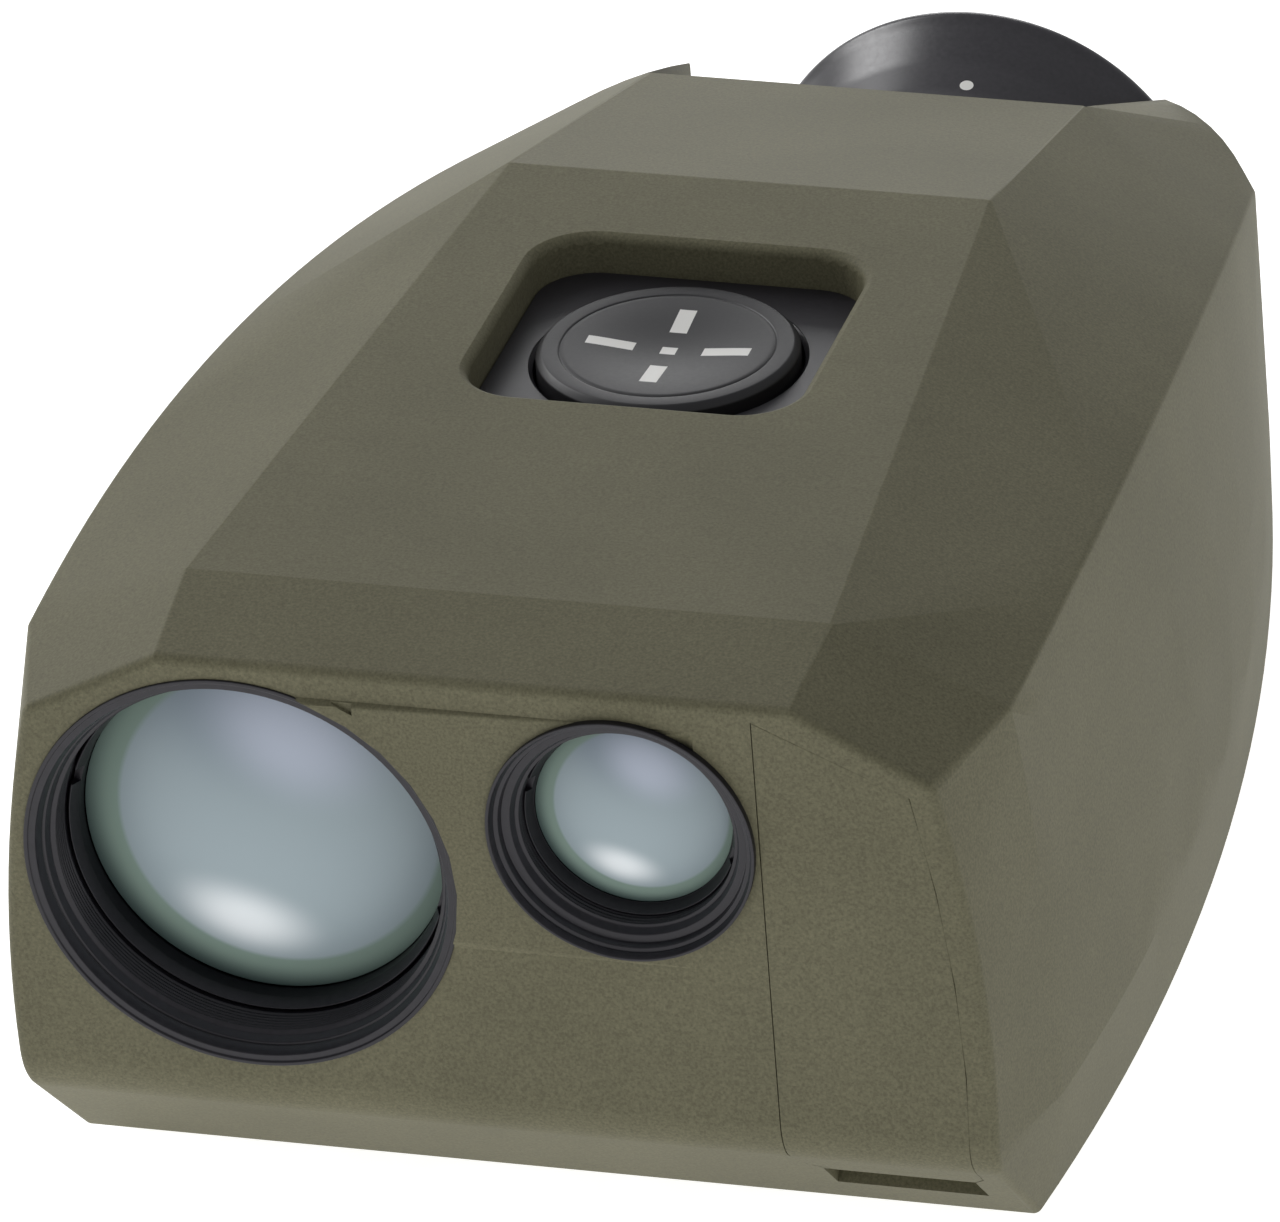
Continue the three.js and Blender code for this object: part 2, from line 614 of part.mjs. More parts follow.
function baseCover() {
  const plate = flatSlab(soleOutline(COVER_INSET, COVER_FRONT, COVER_REAR), 0, COVER_TOP);
  let cover = plate;
  for (const [x, y] of BASE_SCREWS) {
    const pit = upright(
      [[0, -1], [SCREW_HEAD + GAP, -1], [SCREW_HEAD + GAP, 0.9], [SCREW_SHANK + GAP, 1.8], [SCREW_SHANK + GAP, 5], [0, 5]],
      x,
      y,
    );
    cover = cut(cover, pit);
  }
  const bushHole = upright([[0, -1], [5.3, -1], [5.3, 5], [0, 5]], 0, TRIPOD_Y, ROUND);
  const grooveOut = flatSlab(soleOutline(COVER_INSET + 1, COVER_FRONT + 1, COVER_REAR - 1), COVER_TOP - 0.9, 5);
  const grooveIn = flatSlab(soleOutline(COVER_INSET + 3, COVER_FRONT + 3, COVER_REAR - 3), 0, 6);
  add('base_cover', cut(cover, bushHole, cut(grooveOut, grooveIn)), OLIVE());

  const sealOut = flatSlab(soleOutline(COVER_INSET + 1.3, COVER_FRONT + 1.3, COVER_REAR - 1.3), COVER_TOP - 0.6, COVER_TOP);
  const sealIn = flatSlab(soleOutline(COVER_INSET + 2.7, COVER_FRONT + 2.7, COVER_REAR - 2.7), 0, 6);
  add('base_gasket', cut(sealOut, sealIn), RUBBER());

  BASE_SCREWS.forEach(([x, y], i) => {
    add(`base_screw_${i + 1}`, upright(screwOutline(0.5, 7), x, y), STEEL());
  });

  add(
    'tripod_bush',
    upright(
      [
        [TRIPOD_BORE, 0.2],
        [5, 0.2],
        [5, COVER_TOP + GAP],
        [7, COVER_TOP + GAP],
        [7, COVER_TOP + 1.4],
        [5, COVER_TOP + 1.4],
        [5, 7.4],
        [0, 7.4],
        [0, 6.4],
        [TRIPOD_BORE, 6.4],
      ],
      0,
      TRIPOD_Y,
      ROUND,
    ),
    BRASS(),
  );
}

const BULKHEAD_SCREWS = [
  [RECEIVER_X + RECEIVER_BORE / 2 + 4.5, CHIN_Z + 4.5],
  [-soleHalf(BULKHEAD_Y) + 6.4, CHIN_Z + 1.2],
];

function bulkhead() {
  const from = BULKHEAD_Y;
  const to = BULKHEAD_Y + BULKHEAD_THICKNESS;
  const inside = bodyForm(WALL + 0.6, FACE_WALL, CAVITY_REAR, LEDGE_TOP);
  const slab = inside.intersect(box([-60, from, LEDGE_TOP + 4.5], [60, to, BROW_Z]));
  const holes = [
    rod(RECEIVER_TAIL + GAP, from - 1, to + 1, RECEIVER_X, RECEIVER_Z),
    rod(SIGHT_TAIL + GAP, from - 1, to + 1, SIGHT_X, SIGHT_Z),
    frontSlab(bayOutline(SLEEVE_RADIUS + GAP), from - 1, to + 1),
    ...BULKHEAD_SCREWS.map(([x, z]) => rod(SCREW_SHANK + GAP, from - 1, to + 1, x, z, FINE)),
  ];
  add('front_bulkhead', cut(slab, ...holes), ALUMINIUM());
  BULKHEAD_SCREWS.forEach(([x, z], i) => {
    const head = to + GAP + 1.2;
    const outline = [
      [0, FACE_WALL + 1.4],
      [SCREW_SHANK, FACE_WALL + 1.4],
      [SCREW_SHANK, to + GAP],
      [SCREW_HEAD, to + GAP],
      [SCREW_HEAD, head],
      [0, head],
    ];
    add(`bulkhead_screw_${i + 1}`, turned(outline, x, z, FINE), STEEL());
  });
}

function rearCover() {
  const from = REAR_WALL - REAR_COVER_THICKNESS;
  const holes = REAR_SCREWS.map(([x, z]) =>
    turned(
      [
        [0, from - 1],
        [SCREW_SHANK + GAP, from - 1],
        [SCREW_SHANK + GAP, REAR_WALL - 1.6],
        [SCREW_HEAD + GAP, REAR_WALL - 1.0],
        [SCREW_HEAD + GAP, REAR_WALL + 1],
        [0, REAR_WALL + 1],
      ],
      x,
      z,
      FINE,
    ),
  );
  const tubeHole = rod(EYE_TUBE_RADIUS + GAP, from - 1, REAR_WALL + 1, EYE_AXIS_X, EYE_Z, RIM);
  add('rear_cover', cut(rearCoverOutline(0)(from, REAR_WALL), tubeHole, ...holes), BLACK_METAL());
  REAR_SCREWS.forEach(([x, z], i) => {
    const outline = [
      [0, from - 1.8],
      [SCREW_SHANK, from - 1.8],
      [SCREW_SHANK, REAR_WALL - 1.5],
      [SCREW_HEAD, REAR_WALL - 0.7],
      [SCREW_HEAD, REAR_WALL - 0.2],
      [0, REAR_WALL - 0.2],
    ];
    add(`rear_screw_${i + 1}`, turned(outline, x, z, FINE), STEEL());
  });
}

// ---- Objectives -------------------------------------------------------------------------

const RECEIVER_OUT = RECEIVER_BORE / 2 - GAP;
const RECEIVER_IN = RECEIVER_OUT - 1.45;
const RECEIVER_TAIL = RECEIVER_OUT - 1.6;
const SIGHT_OUT = SIGHT_BORE / 2 - GAP;
const SIGHT_IN = SIGHT_OUT - 1.65;
const SIGHT_TAIL = SIGHT_OUT - 1.0;

// A biconvex glass: front dome, cylindrical edge, shallow back.
function lensOutline(radius, front, back, frontDome, backDome) {
  const points = [[0, front - frontDome]];
  for (const share of [0.3, 0.55, 0.8, 1]) {
    points.push([radius * share, front - frontDome * (1 - share ** 2)]);
  }
  for (const share of [1, 0.6]) {
    points.push([radius * share, back + backDome * (1 - share ** 2)]);
  }
  points.push([0, back + backDome]);
  return points;
}

// Retaining ring with two spanner slots at opposite sides.
function slottedRing(outer, inner, from, to, x, z, angle, segments) {
  const ring = turned([[inner, from], [outer, from], [outer, to], [inner, to]], x, z, segments);
  const bar = new THREE.BoxGeometry(outer * 2.2, (to - from) * 0.7, 1.3);
  bar.translate(0, from + (to - from) * 0.2, 0).rotateY(angle).translate(x, 0, z);
  return cut(ring, solid(bar));
}

function receiver() {
  const [x, z] = [RECEIVER_X, RECEIVER_Z];
  const lensFront = 6.2;
  const lensBack = 9.1;
  const narrow = RIDGE_Y * 0.34;
  const tail = narrow + 10;
  const barrel = turned(
    [
      [RECEIVER_OUT - 0.55, 0.1],
      [RECEIVER_OUT, 0.1],
      [RECEIVER_OUT, 3],
      [RECEIVER_OUT - 0.95, 3],
      [RECEIVER_OUT - 0.95, 4.6],
      [RECEIVER_OUT, 4.6],
      [RECEIVER_OUT, BULKHEAD_Y - 1.4],
      [RECEIVER_TAIL, BULKHEAD_Y - 1.4],
      [RECEIVER_TAIL, narrow],
      [7.6, tail - 3],
      [7.6, tail],
      [6.4, tail],
      [6.4, tail - 3],
      [RECEIVER_TAIL - 1.2, narrow],
      [RECEIVER_TAIL - 1.2, lensBack + GAP],
      [RECEIVER_IN, lensBack + GAP],
      [RECEIVER_IN, 2.7],
      [RECEIVER_IN + 0.45, 2.7],
      [RECEIVER_IN + 0.45, 1.1],
      [RECEIVER_OUT - 0.55, 1.1],
    ],
    x,
    z,
    RIM,
  );
  add('receiver_barrel', barrel, BLACK_METAL());
  const lens = lensOutline(RECEIVER_IN - GAP, lensFront, lensBack, 3.2, 0.9);
  add('receiver_lens', turned(lens, x, z, RIM), GLASS());
  const ring = slottedRing(RECEIVER_IN - GAP, RECEIVER_IN - 0.9, 4.0, lensFront - 0.5, x, z, 0.33, RIM);
  add('receiver_lens_ring', ring, BLACK_METAL());
  const seal = [
    [RECEIVER_OUT - 0.65, 3.3],
    [RECEIVER_OUT, 3.3],
    [RECEIVER_OUT, 4.3],
    [RECEIVER_OUT - 0.65, 4.3],
  ];
  add('receiver_seal', turned(seal, x, z, ROUND), RUBBER());

  const canFront = tail - 2.5;
  const can = turned([[0, canFront], [4.2, canFront], [4.2, tail], [4.8, tail], [4.8, tail + 0.6], [0, tail + 0.6]], x, z);
  add('detector_can', can, STEEL());
  const board = roundedBox(x - 8, z - 12, x + 8, z + 6, 1);
  const boardFront = tail + 0.6 + GAP;
  add('detector_board', frontSlab(board, boardFront, boardFront + BOARD_THICKNESS), CIRCUIT());

  const strip = boardFront + BOARD_THICKNESS + GAP;
  const foot = MAIN_BOARD_Z + BOARD_THICKNESS + GAP;
  const flex = [
    [strip, z - 2],
    [strip, foot],
    [strip + 6, foot],
    [strip + 6, foot + 0.4],
    [strip + 0.4, foot + 0.4],
    [strip + 0.4, z - 2],
  ];
  add('detector_flex', sideSlab(flex, x - 4, x + 4), finish('#7a4a1c', 0.5));
}

function sight() {
  const [x, z] = [SIGHT_X, SIGHT_Z];
  const lensFront = 3.4;
  const lensBack = 6.6;
  const tail = 22;
  const barrel = turned(
    [
      [SIGHT_OUT - 0.7, 0.1],
      [SIGHT_OUT, 0.1],
      [SIGHT_OUT, 2.6],
      [SIGHT_OUT - 0.95, 2.6],
      [SIGHT_OUT - 0.95, 4.2],
      [SIGHT_OUT, 4.2],
      [SIGHT_OUT, BULKHEAD_Y - 1.4],
      [SIGHT_TAIL, BULKHEAD_Y - 1.4],
      [SIGHT_TAIL, tail],
      [5.6, tail],
      [5.6, lensBack + GAP],
      [SIGHT_IN, lensBack + GAP],
      [SIGHT_IN, 1.7],
      [SIGHT_IN + 0.4, 1.7],
      [SIGHT_IN + 0.4, 0.8],
      [SIGHT_OUT - 0.7, 0.8],
    ],
    x,
    z,
    ROUND,
  );
  add('sight_barrel', barrel, BLACK_METAL());
  add('sight_lens', turned(lensOutline(SIGHT_IN - GAP, lensFront, lensBack, 1.8, 0.6), x, z), GLASS());
  const ring = slottedRing(SIGHT_IN - GAP, SIGHT_IN - 0.75, 2.2, lensFront - 0.5, x, z, 0.36, ROUND);
  add('sight_lens_ring', ring, BLACK_METAL());
  const seal = [
    [SIGHT_OUT - 0.65, 2.9],
    [SIGHT_OUT, 2.9],
    [SIGHT_OUT, 3.9],
    [SIGHT_OUT - 0.65, 3.9],
  ];
  add('sight_seal', turned(seal, x, z), RUBBER());

  const splitterFront = tail + GAP;
  const splitterRear = splitterFront + 9;
  add('beam_splitter', box([x - 4.5, splitterFront, z - 4.5], [x + 4.5, splitterRear, z + 4.5]), GLASS());
  const middle = (splitterFront + splitterRear) / 2;
  const laserTop = z - 4.5 - GAP;
  const laser = upright(
    [[0, laserTop - 13], [3, laserTop - 13], [3, laserTop - 10], [4.5, laserTop - 10], [4.5, laserTop], [0, laserTop]],
    x,
    middle,
    ROUND,
  );
  add('laser_module', laser, BRASS());

  // The prism carries the sight line across and down to the eyepiece's axis.
  const prismFront = splitterRear + GAP;
  const prismRear = prismFront + 10;
  const high = z + 3.4;
  const low = EYE_Z - 5;
  const across = frontShape([
    [EYE_AXIS_X - 5, low],
    [EYE_AXIS_X + 5, low],
    [EYE_AXIS_X + 5, EYE_Z + 5],
    [x + 4.5, z - 2],
    [x + 4.5, high],
    [x - 4.5, high],
    [x - 4.5, z - 4.5],
    [EYE_AXIS_X - 5, EYE_Z + 5],
  ]);
  add('erecting_prism', frontSlab(across, prismFront, prismRear), GLASS());
  const cradle = cut(
    frontSlab(roundedBox(EYE_AXIS_X - 7.5, low - 2, EYE_AXIS_X + 7.5, EYE_Z + 3, 1.5), prismFront + 1, prismRear - 1),
    frontSlab(roundedBox(EYE_AXIS_X - 5.3, low - GAP, EYE_AXIS_X + 5.3, EYE_Z + 9, 0.2), prismFront, prismRear),
  );
  add('prism_cradle', cradle, ALUMINIUM());
}

// ---- Eyepiece ---------------------------------------------------------------------------

const RIM_Y = BODY_LENGTH - EYECUP_SHORT;
const EYE_RADIUS = EYECUP_DIAMETER / 2;

function eyepiece() {
  const [x, z] = [EYE_AXIS_X, EYE_Z];
  const tubeRear = RIM_Y - 6.8;
  const flange = REAR_WALL - REAR_COVER_THICKNESS - GAP;
  const tube = turned(
    [
      [EYE_TUBE_RADIUS - 1.4, flange - 5],
      [EYE_TUBE_RADIUS, flange - 5],
      [EYE_TUBE_RADIUS, flange - 1.8],
      [EYE_TUBE_RADIUS + 1.6, flange - 1.8],
      [EYE_TUBE_RADIUS + 1.6, flange],
      [EYE_TUBE_RADIUS, flange],
      [EYE_TUBE_RADIUS, REAR_WALL + 2],
      [EYE_TUBE_RADIUS - 0.9, REAR_WALL + 2],
      [EYE_TUBE_RADIUS - 0.9, REAR_WALL + 3.4],
      [EYE_TUBE_RADIUS, REAR_WALL + 3.4],
      [EYE_TUBE_RADIUS, tubeRear],
      [EYE_TUBE_RADIUS - 1.4, tubeRear],
    ],
    x,
    z,
  );
  add('eyepiece_tube', tube, BLACK_METAL());
  const seal = [
    [EYE_TUBE_RADIUS - 0.6, REAR_WALL + 2.3],
    [EYE_TUBE_RADIUS, REAR_WALL + 2.3],
    [EYE_TUBE_RADIUS, REAR_WALL + 3.1],
    [EYE_TUBE_RADIUS - 0.6, REAR_WALL + 3.1],
  ];
  add('eyepiece_seal', turned(seal, x, z), RUBBER());

  const bore = EYE_TUBE_RADIUS - 1.4;
  const cellFront = tubeRear - 9;
  const cellRear = tubeRear - CELL_TRAVEL;
  const cell = [
    [bore - GAP - 0.9, cellFront],
    [bore - GAP, cellFront],
    [bore - GAP, cellRear],
    [bore - GAP - 1.6, cellRear],
    [bore - GAP - 1.6, cellRear - 0.8],
    [bore - GAP - 0.9, cellRear - 0.8],
  ];
  add('eye_lens_cell', turned(cell, x, z), BLACK_METAL());
  const eyeLens = lensOutline(bore - 2 * GAP - 0.9, cellRear - 5, cellRear - 2.2, 1.2, 1.0);
  add('eye_lens', turned(eyeLens, x, z), GLASS());
  const fieldLens = lensOutline(bore - GAP - 0.2, flange - 2.5, flange - 0.8, 1.0, 0.8);
  add('field_lens', turned(fieldLens, x, z), GLASS());

  const cup = turned(
    [
      [EYE_TUBE_RADIUS + GAP, REAR_WALL + 0.5],
      [13.2, REAR_WALL + 0.5],
      [14.0, REAR_WALL + 1.6],
      [14.0, REAR_WALL + 5],
      [14.4, REAR_WALL + 7.5],
      [15.2, REAR_WALL + 10.5],
      [EYE_RADIUS - 0.4, RIM_Y - 1.2],
      [EYE_RADIUS, RIM_Y - 0.5],
      [EYE_RADIUS - 0.2, RIM_Y],
      [EYE_RADIUS - 0.8, RIM_Y],
      [EYE_RADIUS - 1.6, RIM_Y - 2],
      [13.2, RIM_Y - 4.6],
      [9.6, RIM_Y - 5.3],
      [9.6, tubeRear + GAP],
      [EYE_TUBE_RADIUS + GAP, tubeRear + GAP],
    ],
    x,
    z,
    RIM,
  );
  add('eyecup', cup, BLACK_PLASTIC());

  const cubeRear = flange - 7;
  add('reticle_cube', box([x - 5, cubeRear - 10, z - 5], [x + 5, cubeRear, z + 5]), GLASS());
  const display = [x - 5 - GAP - 2.4, x - 5 - GAP];
  add('range_display', box([display[0], cubeRear - 9.5, z - 4.5], [display[1], cubeRear - 0.5, z + 4.5]), BLACK_PLASTIC());
}

// ---- Battery and boards -------------------------------------------------------------------

function battery() {
  const sleeve = cut(
    frontSlab(bayOutline(SLEEVE_RADIUS), SLEEVE_FRONT, SLEEVE_REAR),
    ...[LOWER_CELL_Z, UPPER_CELL_Z].map((z) => rod(CELL_DIAMETER / 2 + GAP, 0, SLEEVE_REAR + 1, CELL_X, z)),
  );
  add('battery_sleeve', sleeve, BLACK_PLASTIC());

  const can = CELL_DIAMETER / 2;
  const forward = [
    [0, CELL_FRONT],
    [1.9, CELL_FRONT],
    [1.9, CELL_FRONT + CELL_NUB],
    [can, CELL_FRONT + CELL_NUB],
    [can, CELL_FRONT + CELL_NUB + CELL_LENGTH],
    [0, CELL_FRONT + CELL_NUB + CELL_LENGTH],
  ];
  const middle = CELL_FRONT + (CELL_NUB + CELL_LENGTH) / 2;
  const backward = forward.map(([radius, y]) => [radius, 2 * middle - y]).reverse();
  add('battery_cell_upper', turned(forward, CELL_X, UPPER_CELL_Z), finish('#8a7a3c', 0.4, 0.3));
  add('battery_cell_lower', turned(backward, CELL_X, LOWER_CELL_Z), finish('#8a7a3c', 0.4, 0.3));

  const boardFront = SLEEVE_REAR + GAP;
  add('contact_board', frontSlab(bayOutline(SLEEVE_RADIUS), boardFront, boardFront + BOARD_THICKNESS), CIRCUIT());
  const cellRear = CELL_FRONT + CELL_NUB + CELL_LENGTH;
  const button = [[0, cellRear + GAP], [3, cellRear + GAP], [3, boardFront - GAP], [0, boardFront - GAP]];
  add('contact_button', turned(button, CELL_X, LOWER_CELL_Z), BRASS());

  // A coil of two turns between the board and the upper cell's flat end.
  const wire = 0.22;
  const length = boardFront - cellRear - 2 * (GAP + wire);
  const turns = 2;
  const points = [];
  for (let i = 0; i <= 24; i += 1) {
    const angle = (i / 24) * turns * 2 * Math.PI;
    const radius = 3.4 - (1.2 * i) / 24;
    points.push(
      new THREE.Vector3(
        CELL_X + radius * Math.cos(angle),
        boardFront - GAP - wire - (length * i) / 24,
        UPPER_CELL_Z + radius * Math.sin(angle),
      ),
    );
  }
  const section = new THREE.Shape();
  section.absarc(0, 0, wire, 0, 2 * Math.PI);
  const coil = new THREE.ExtrudeGeometry(section, {
    extrudePath: new THREE.CatmullRomCurve3(points),
    steps: 24,
    curveSegments: 5,
    bevelEnabled: false,
  });
  add('contact_spring', solid(coil), STEEL());
}

const MAIN_BOARD_Z = LEDGE_TOP + 1.2;

function boards() {
  const front = 33;
  const rear = CAVITY_REAR - 8;
  const outline = roundedBox(-19, front, 19, rear, 2);
  const bushHole = upright([[0, 0], [8, 0], [8, 20], [0, 20]], 0, TRIPOD_Y, ROUND);
  const [z0, z1] = [MAIN_BOARD_Z, MAIN_BOARD_Z + BOARD_THICKNESS];
  add('main_board', cut(flatSlab(outline, z0, z1), bushHole), CIRCUIT());
  const chipY = rear - 18;
  add('processor_chip', box([-18, chipY, z1 + GAP], [-6, chipY + 12, z1 + GAP + 1.4]), BLACK_PLASTIC());
  const drum = new THREE.CylinderGeometry(4.2, 4.2, 15, 24).translate(-16, TRIPOD_Y + 4, z1 + GAP + 4.2);
  add('pulse_capacitor', solid(drum), finish('#2b3350', 0.4));
}

// ---- The assembly -----------------------------------------------------------------------

housing();
baseCover();
bulkhead();
rearCover();
batteryFlap();
button();
receiver();
sight();
eyepiece();
battery();
boards();

shifted.position.y = -(BODY_LENGTH - PAD_HEIGHT) / 2;

export default root;
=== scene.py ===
import math

import bmesh
import bpy
import numpy as np
from mathutils import Matrix, Vector


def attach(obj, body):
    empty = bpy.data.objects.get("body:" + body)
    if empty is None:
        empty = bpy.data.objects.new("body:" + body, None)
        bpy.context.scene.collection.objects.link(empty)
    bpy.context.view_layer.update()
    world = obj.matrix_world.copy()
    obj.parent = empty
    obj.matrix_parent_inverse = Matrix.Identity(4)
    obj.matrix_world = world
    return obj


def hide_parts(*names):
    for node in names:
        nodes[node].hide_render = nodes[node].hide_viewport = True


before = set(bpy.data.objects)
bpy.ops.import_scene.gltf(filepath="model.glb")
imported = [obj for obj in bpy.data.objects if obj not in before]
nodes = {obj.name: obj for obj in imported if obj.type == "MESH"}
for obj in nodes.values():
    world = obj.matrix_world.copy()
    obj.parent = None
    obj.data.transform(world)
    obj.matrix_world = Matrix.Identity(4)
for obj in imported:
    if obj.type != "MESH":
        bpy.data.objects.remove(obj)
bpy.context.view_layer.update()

# ---- The view -------------------------------------------------------------------------
# A long lens a metre away, so the parallel edges of the body stay almost parallel. It looks
# down on the roof and the face together and is rolled a few degrees.

MM = 0.001
camera = bpy.data.objects.new("camera", bpy.data.cameras.new("camera"))
camera.data.lens = 450
camera.data.sensor_width = 36
camera.data.clip_end = 20
YAW, PITCH, ROLL = (math.radians(a) for a in (-17.79, 31.15, -4.52))
forward = np.array([math.sin(YAW) * math.cos(PITCH), math.cos(YAW) * math.cos(PITCH), -math.sin(PITCH)])
level = np.array([math.cos(YAW), -math.sin(YAW), 0])
above = np.cross(level, forward)
right = math.cos(ROLL) * level + math.sin(ROLL) * above
up = -math.sin(ROLL) * level + math.cos(ROLL) * above
camera.matrix_world = Matrix(np.column_stack([right, up, -forward])).to_4x4()
camera.location = (0.2885, -0.9190, 0.6000)
bpy.context.scene.collection.objects.link(camera)
bpy.context.scene.camera = camera

# ---- Housing --------------------------------------------------------------------------
# The body is die-cast and sprayed with a thick matt olive coat that feels like fine
# sandpaper. Its flanks swell a little, its facets are flat, and the coat rounds every
# edge to about 0.7 mm. The face has a low cast pad round and between the two bores.

FACE_BACK = 58.4  # the face lies this far in front of the middle of the length, mm
FACE_HALF = 34.5
SOLE, CHIN, FACE_TOP, BROW = 1.3, 11.8, 46.95, 47.9
BROW_LENGTH, RIDGE_Y, REAR_WALL, TAIL_Y, LENGTH = 9.8, 71.04, 101.2, 105.0, 117.2
RIDGE_TOP, REAR_TOP, EAR_TOP = 45.0, 35.5, 27.3
TAIL_HALF, EAR_HALF = 0.8 * FACE_HALF, 0.523 * FACE_HALF
CORNER_HALF, CORNER_TOP = 0.922 * FACE_HALF, FACE_TOP - 5.1
COAT_ROUND = 0.7
CHIN_ROUND = 5.0  # the softer edge between the face and the chin
COAT_SET_IN = 0.1  # the fine surface stays inside the CAD one


def placed(points):
    """Points measured in mm from the middle of the face's foot, as metres in the row frame."""
    points = np.asarray(points, float).copy()
    points[..., 1] -= FACE_BACK
    return points * MM


def object_from(name, vertices, faces):
    mesh = bpy.data.meshes.new(name)
    mesh.from_pydata(np.asarray(vertices).reshape(-1, 3).tolist(), [], faces)
    made = bpy.data.objects.new(name, mesh)
    bpy.context.scene.collection.objects.link(made)
    return made


def cleaned(made):
    """Doubles merged and faces turned outwards."""
    form = bmesh.new()
    form.from_mesh(made.data)
    bmesh.ops.remove_doubles(form, verts=form.verts, dist=1e-7)
    bmesh.ops.dissolve_degenerate(form, edges=form.edges, dist=1e-8)
    bmesh.ops.recalc_face_normals(form, faces=form.faces)
    form.to_mesh(made.data)
    form.free()
    return made


def hull(name, points):
    """The smallest convex skin round the points."""
    form = bmesh.new()
    for point in np.asarray(points).reshape(-1, 3):
        form.verts.new(point)
    bmesh.ops.convex_hull(form, input=form.verts)
    inner = [v for v in form.verts if not v.link_faces]
    bmesh.ops.delete(form, geom=inner, context="VERTS")
    bmesh.ops.recalc_face_normals(form, faces=form.faces)
    mesh = bpy.data.meshes.new(name)
    form.to_mesh(mesh)
    form.free()
    made = bpy.data.objects.new(name, mesh)
    bpy.context.scene.collection.objects.link(made)
    return made


def ball(radius, subdivisions=3):
    """Points spread evenly over a ball."""
    form = bmesh.new()
    bmesh.ops.create_icosphere(form, subdivisions=subdivisions, radius=radius)
    points = np.array([v.co for v in form.verts])
    form.free()
    return points


def swelling(y, peak, station, tail):
    """A half width that peaks at one station and falls off as the square of the distance."""
    return peak - (peak - tail) * ((y - station) / (TAIL_Y - station)) ** 2


def sole_half(y):
    return swelling(y, FACE_HALF * 1.05, LENGTH * 0.35, TAIL_HALF)


def shoulder_half(y):
    return swelling(y, FACE_HALF * 1.098, LENGTH * 0.31, TAIL_HALF)


def crease_half(y):
    return swelling(y, FACE_HALF * 1.006, LENGTH * 0.2, TAIL_HALF)


def crease_top(y):
    start = LENGTH * 0.13
    return BROW - 5.8 - (BROW - 5.8 - EAR_TOP) * (np.maximum(0, y - start) / (TAIL_Y - start)) ** 2


def face_half(z):
    """The face's edge is an arc between the chin and the brow's corner."""
    bulge = FACE_HALF + 0.2
    return bulge - (bulge - CORNER_HALF) * ((z - CHIN - 5.7) / (CORNER_TOP - CHIN - 5.7)) ** 2


def body_corners(inset):
    """Where the body's facets meet, on the right half, drawn in by inset: the face's outline,
    the roof's edge, then the crease, the flank and the underside at each station, and the ears."""
    rows = [[(FACE_HALF * 0.643 - inset * 0.4, inset, FACE_TOP - inset)]]
    rows.append([(CORNER_HALF - inset, inset, CORNER_TOP - inset * 0.6)])
    z = np.linspace(CHIN + 0.414 * CHIN_ROUND, CORNER_TOP - inset, 14)
    rows.append(np.column_stack([face_half(z) - inset, np.full_like(z, inset), z]))
    bend = np.linspace(0, math.pi / 4, 13)
    bend_y = CHIN_ROUND - (CHIN_ROUND - inset) * np.cos(bend)
    bend_z = CHIN + 0.414 * CHIN_ROUND - (CHIN_ROUND - inset) * np.sin(bend)
    rows.append(np.column_stack([face_half(bend_z) - inset, bend_y, bend_z]))
    roof = np.array([(0.658, BROW_LENGTH, BROW), (0.513, RIDGE_Y, RIDGE_TOP), (0.474, REAR_WALL, REAR_TOP)])
    rows.append(np.column_stack([roof[:, 0] * FACE_HALF - inset * 0.4, roof[:, 1], roof[:, 2] - inset]))
    y = np.linspace(10.4, TAIL_Y, 28)
    top = crease_top(y)
    rows.append(np.column_stack([crease_half(y) - inset, y, top - inset * 0.6]))
    for share in np.linspace(0, 0.9, 7):
        level_z = CHIN + (top - CHIN) * share
        half = shoulder_half(y) - (shoulder_half(y) - crease_half(y)) * share**2
        rows.append(np.column_stack([half - inset, y, level_z]))
    foot = np.maximum(y, CHIN - SOLE + 0.414 * inset)
    rows.append(np.column_stack([sole_half(foot) - inset, foot, np.full_like(y, SOLE + inset)]))
    turn = np.linspace(0, 1, 8)
    ear_x = (1 - turn) ** 2 * TAIL_HALF + 2 * turn * (1 - turn) * TAIL_HALF * 0.83 + turn**2 * EAR_HALF
    ear_y = (1 - turn) ** 2 * TAIL_Y + 2 * turn * (1 - turn) * (LENGTH - 2.3) + turn**2 * LENGTH
    for height in (SOLE + inset, EAR_TOP - inset * 0.6):
        x, back = ear_x - inset * (1 - 0.6 * turn), ear_y - inset * (0.3 + 0.7 * turn)
        rows.append(np.column_stack([x, back, np.full_like(x, height)]))
    return np.vstack(rows)


def rounded_hull(name, corners, radius, subdivisions=3):
    """The skin round balls of one radius set at the corners, so every edge is rounded by it."""
    around = np.asarray(corners)[:, None] + ball(radius, subdivisions)[None]
    return hull(name, placed(around))


def carved(target, operation, *tools):
    """target joined with, cut by or kept inside each tool in turn."""
    for tool in tools:
        step = target.modifiers.new(tool.name, "BOOLEAN")
        step.operation, step.object, step.solver = operation, tool, "EXACT"
    bpy.context.view_layer.update()
    shape = bpy.data.meshes.new_from_object(target.evaluated_get(bpy.context.evaluated_depsgraph_get()))
    target.modifiers.clear()
    target.data = shape
    for tool in tools:
        bpy.data.objects.remove(tool)
    return target


def copied(name, node):
    """A CAD node's mesh as a new object, its loose triangles merged."""
    made = bpy.data.objects.new(name, nodes[node].data.copy())
    bpy.context.scene.collection.objects.link(made)
    form = bmesh.new()
    form.from_mesh(made.data)
    bmesh.ops.remove_doubles(form, verts=form.verts, dist=1e-6)
    form.to_mesh(made.data)
    form.free()
    return made


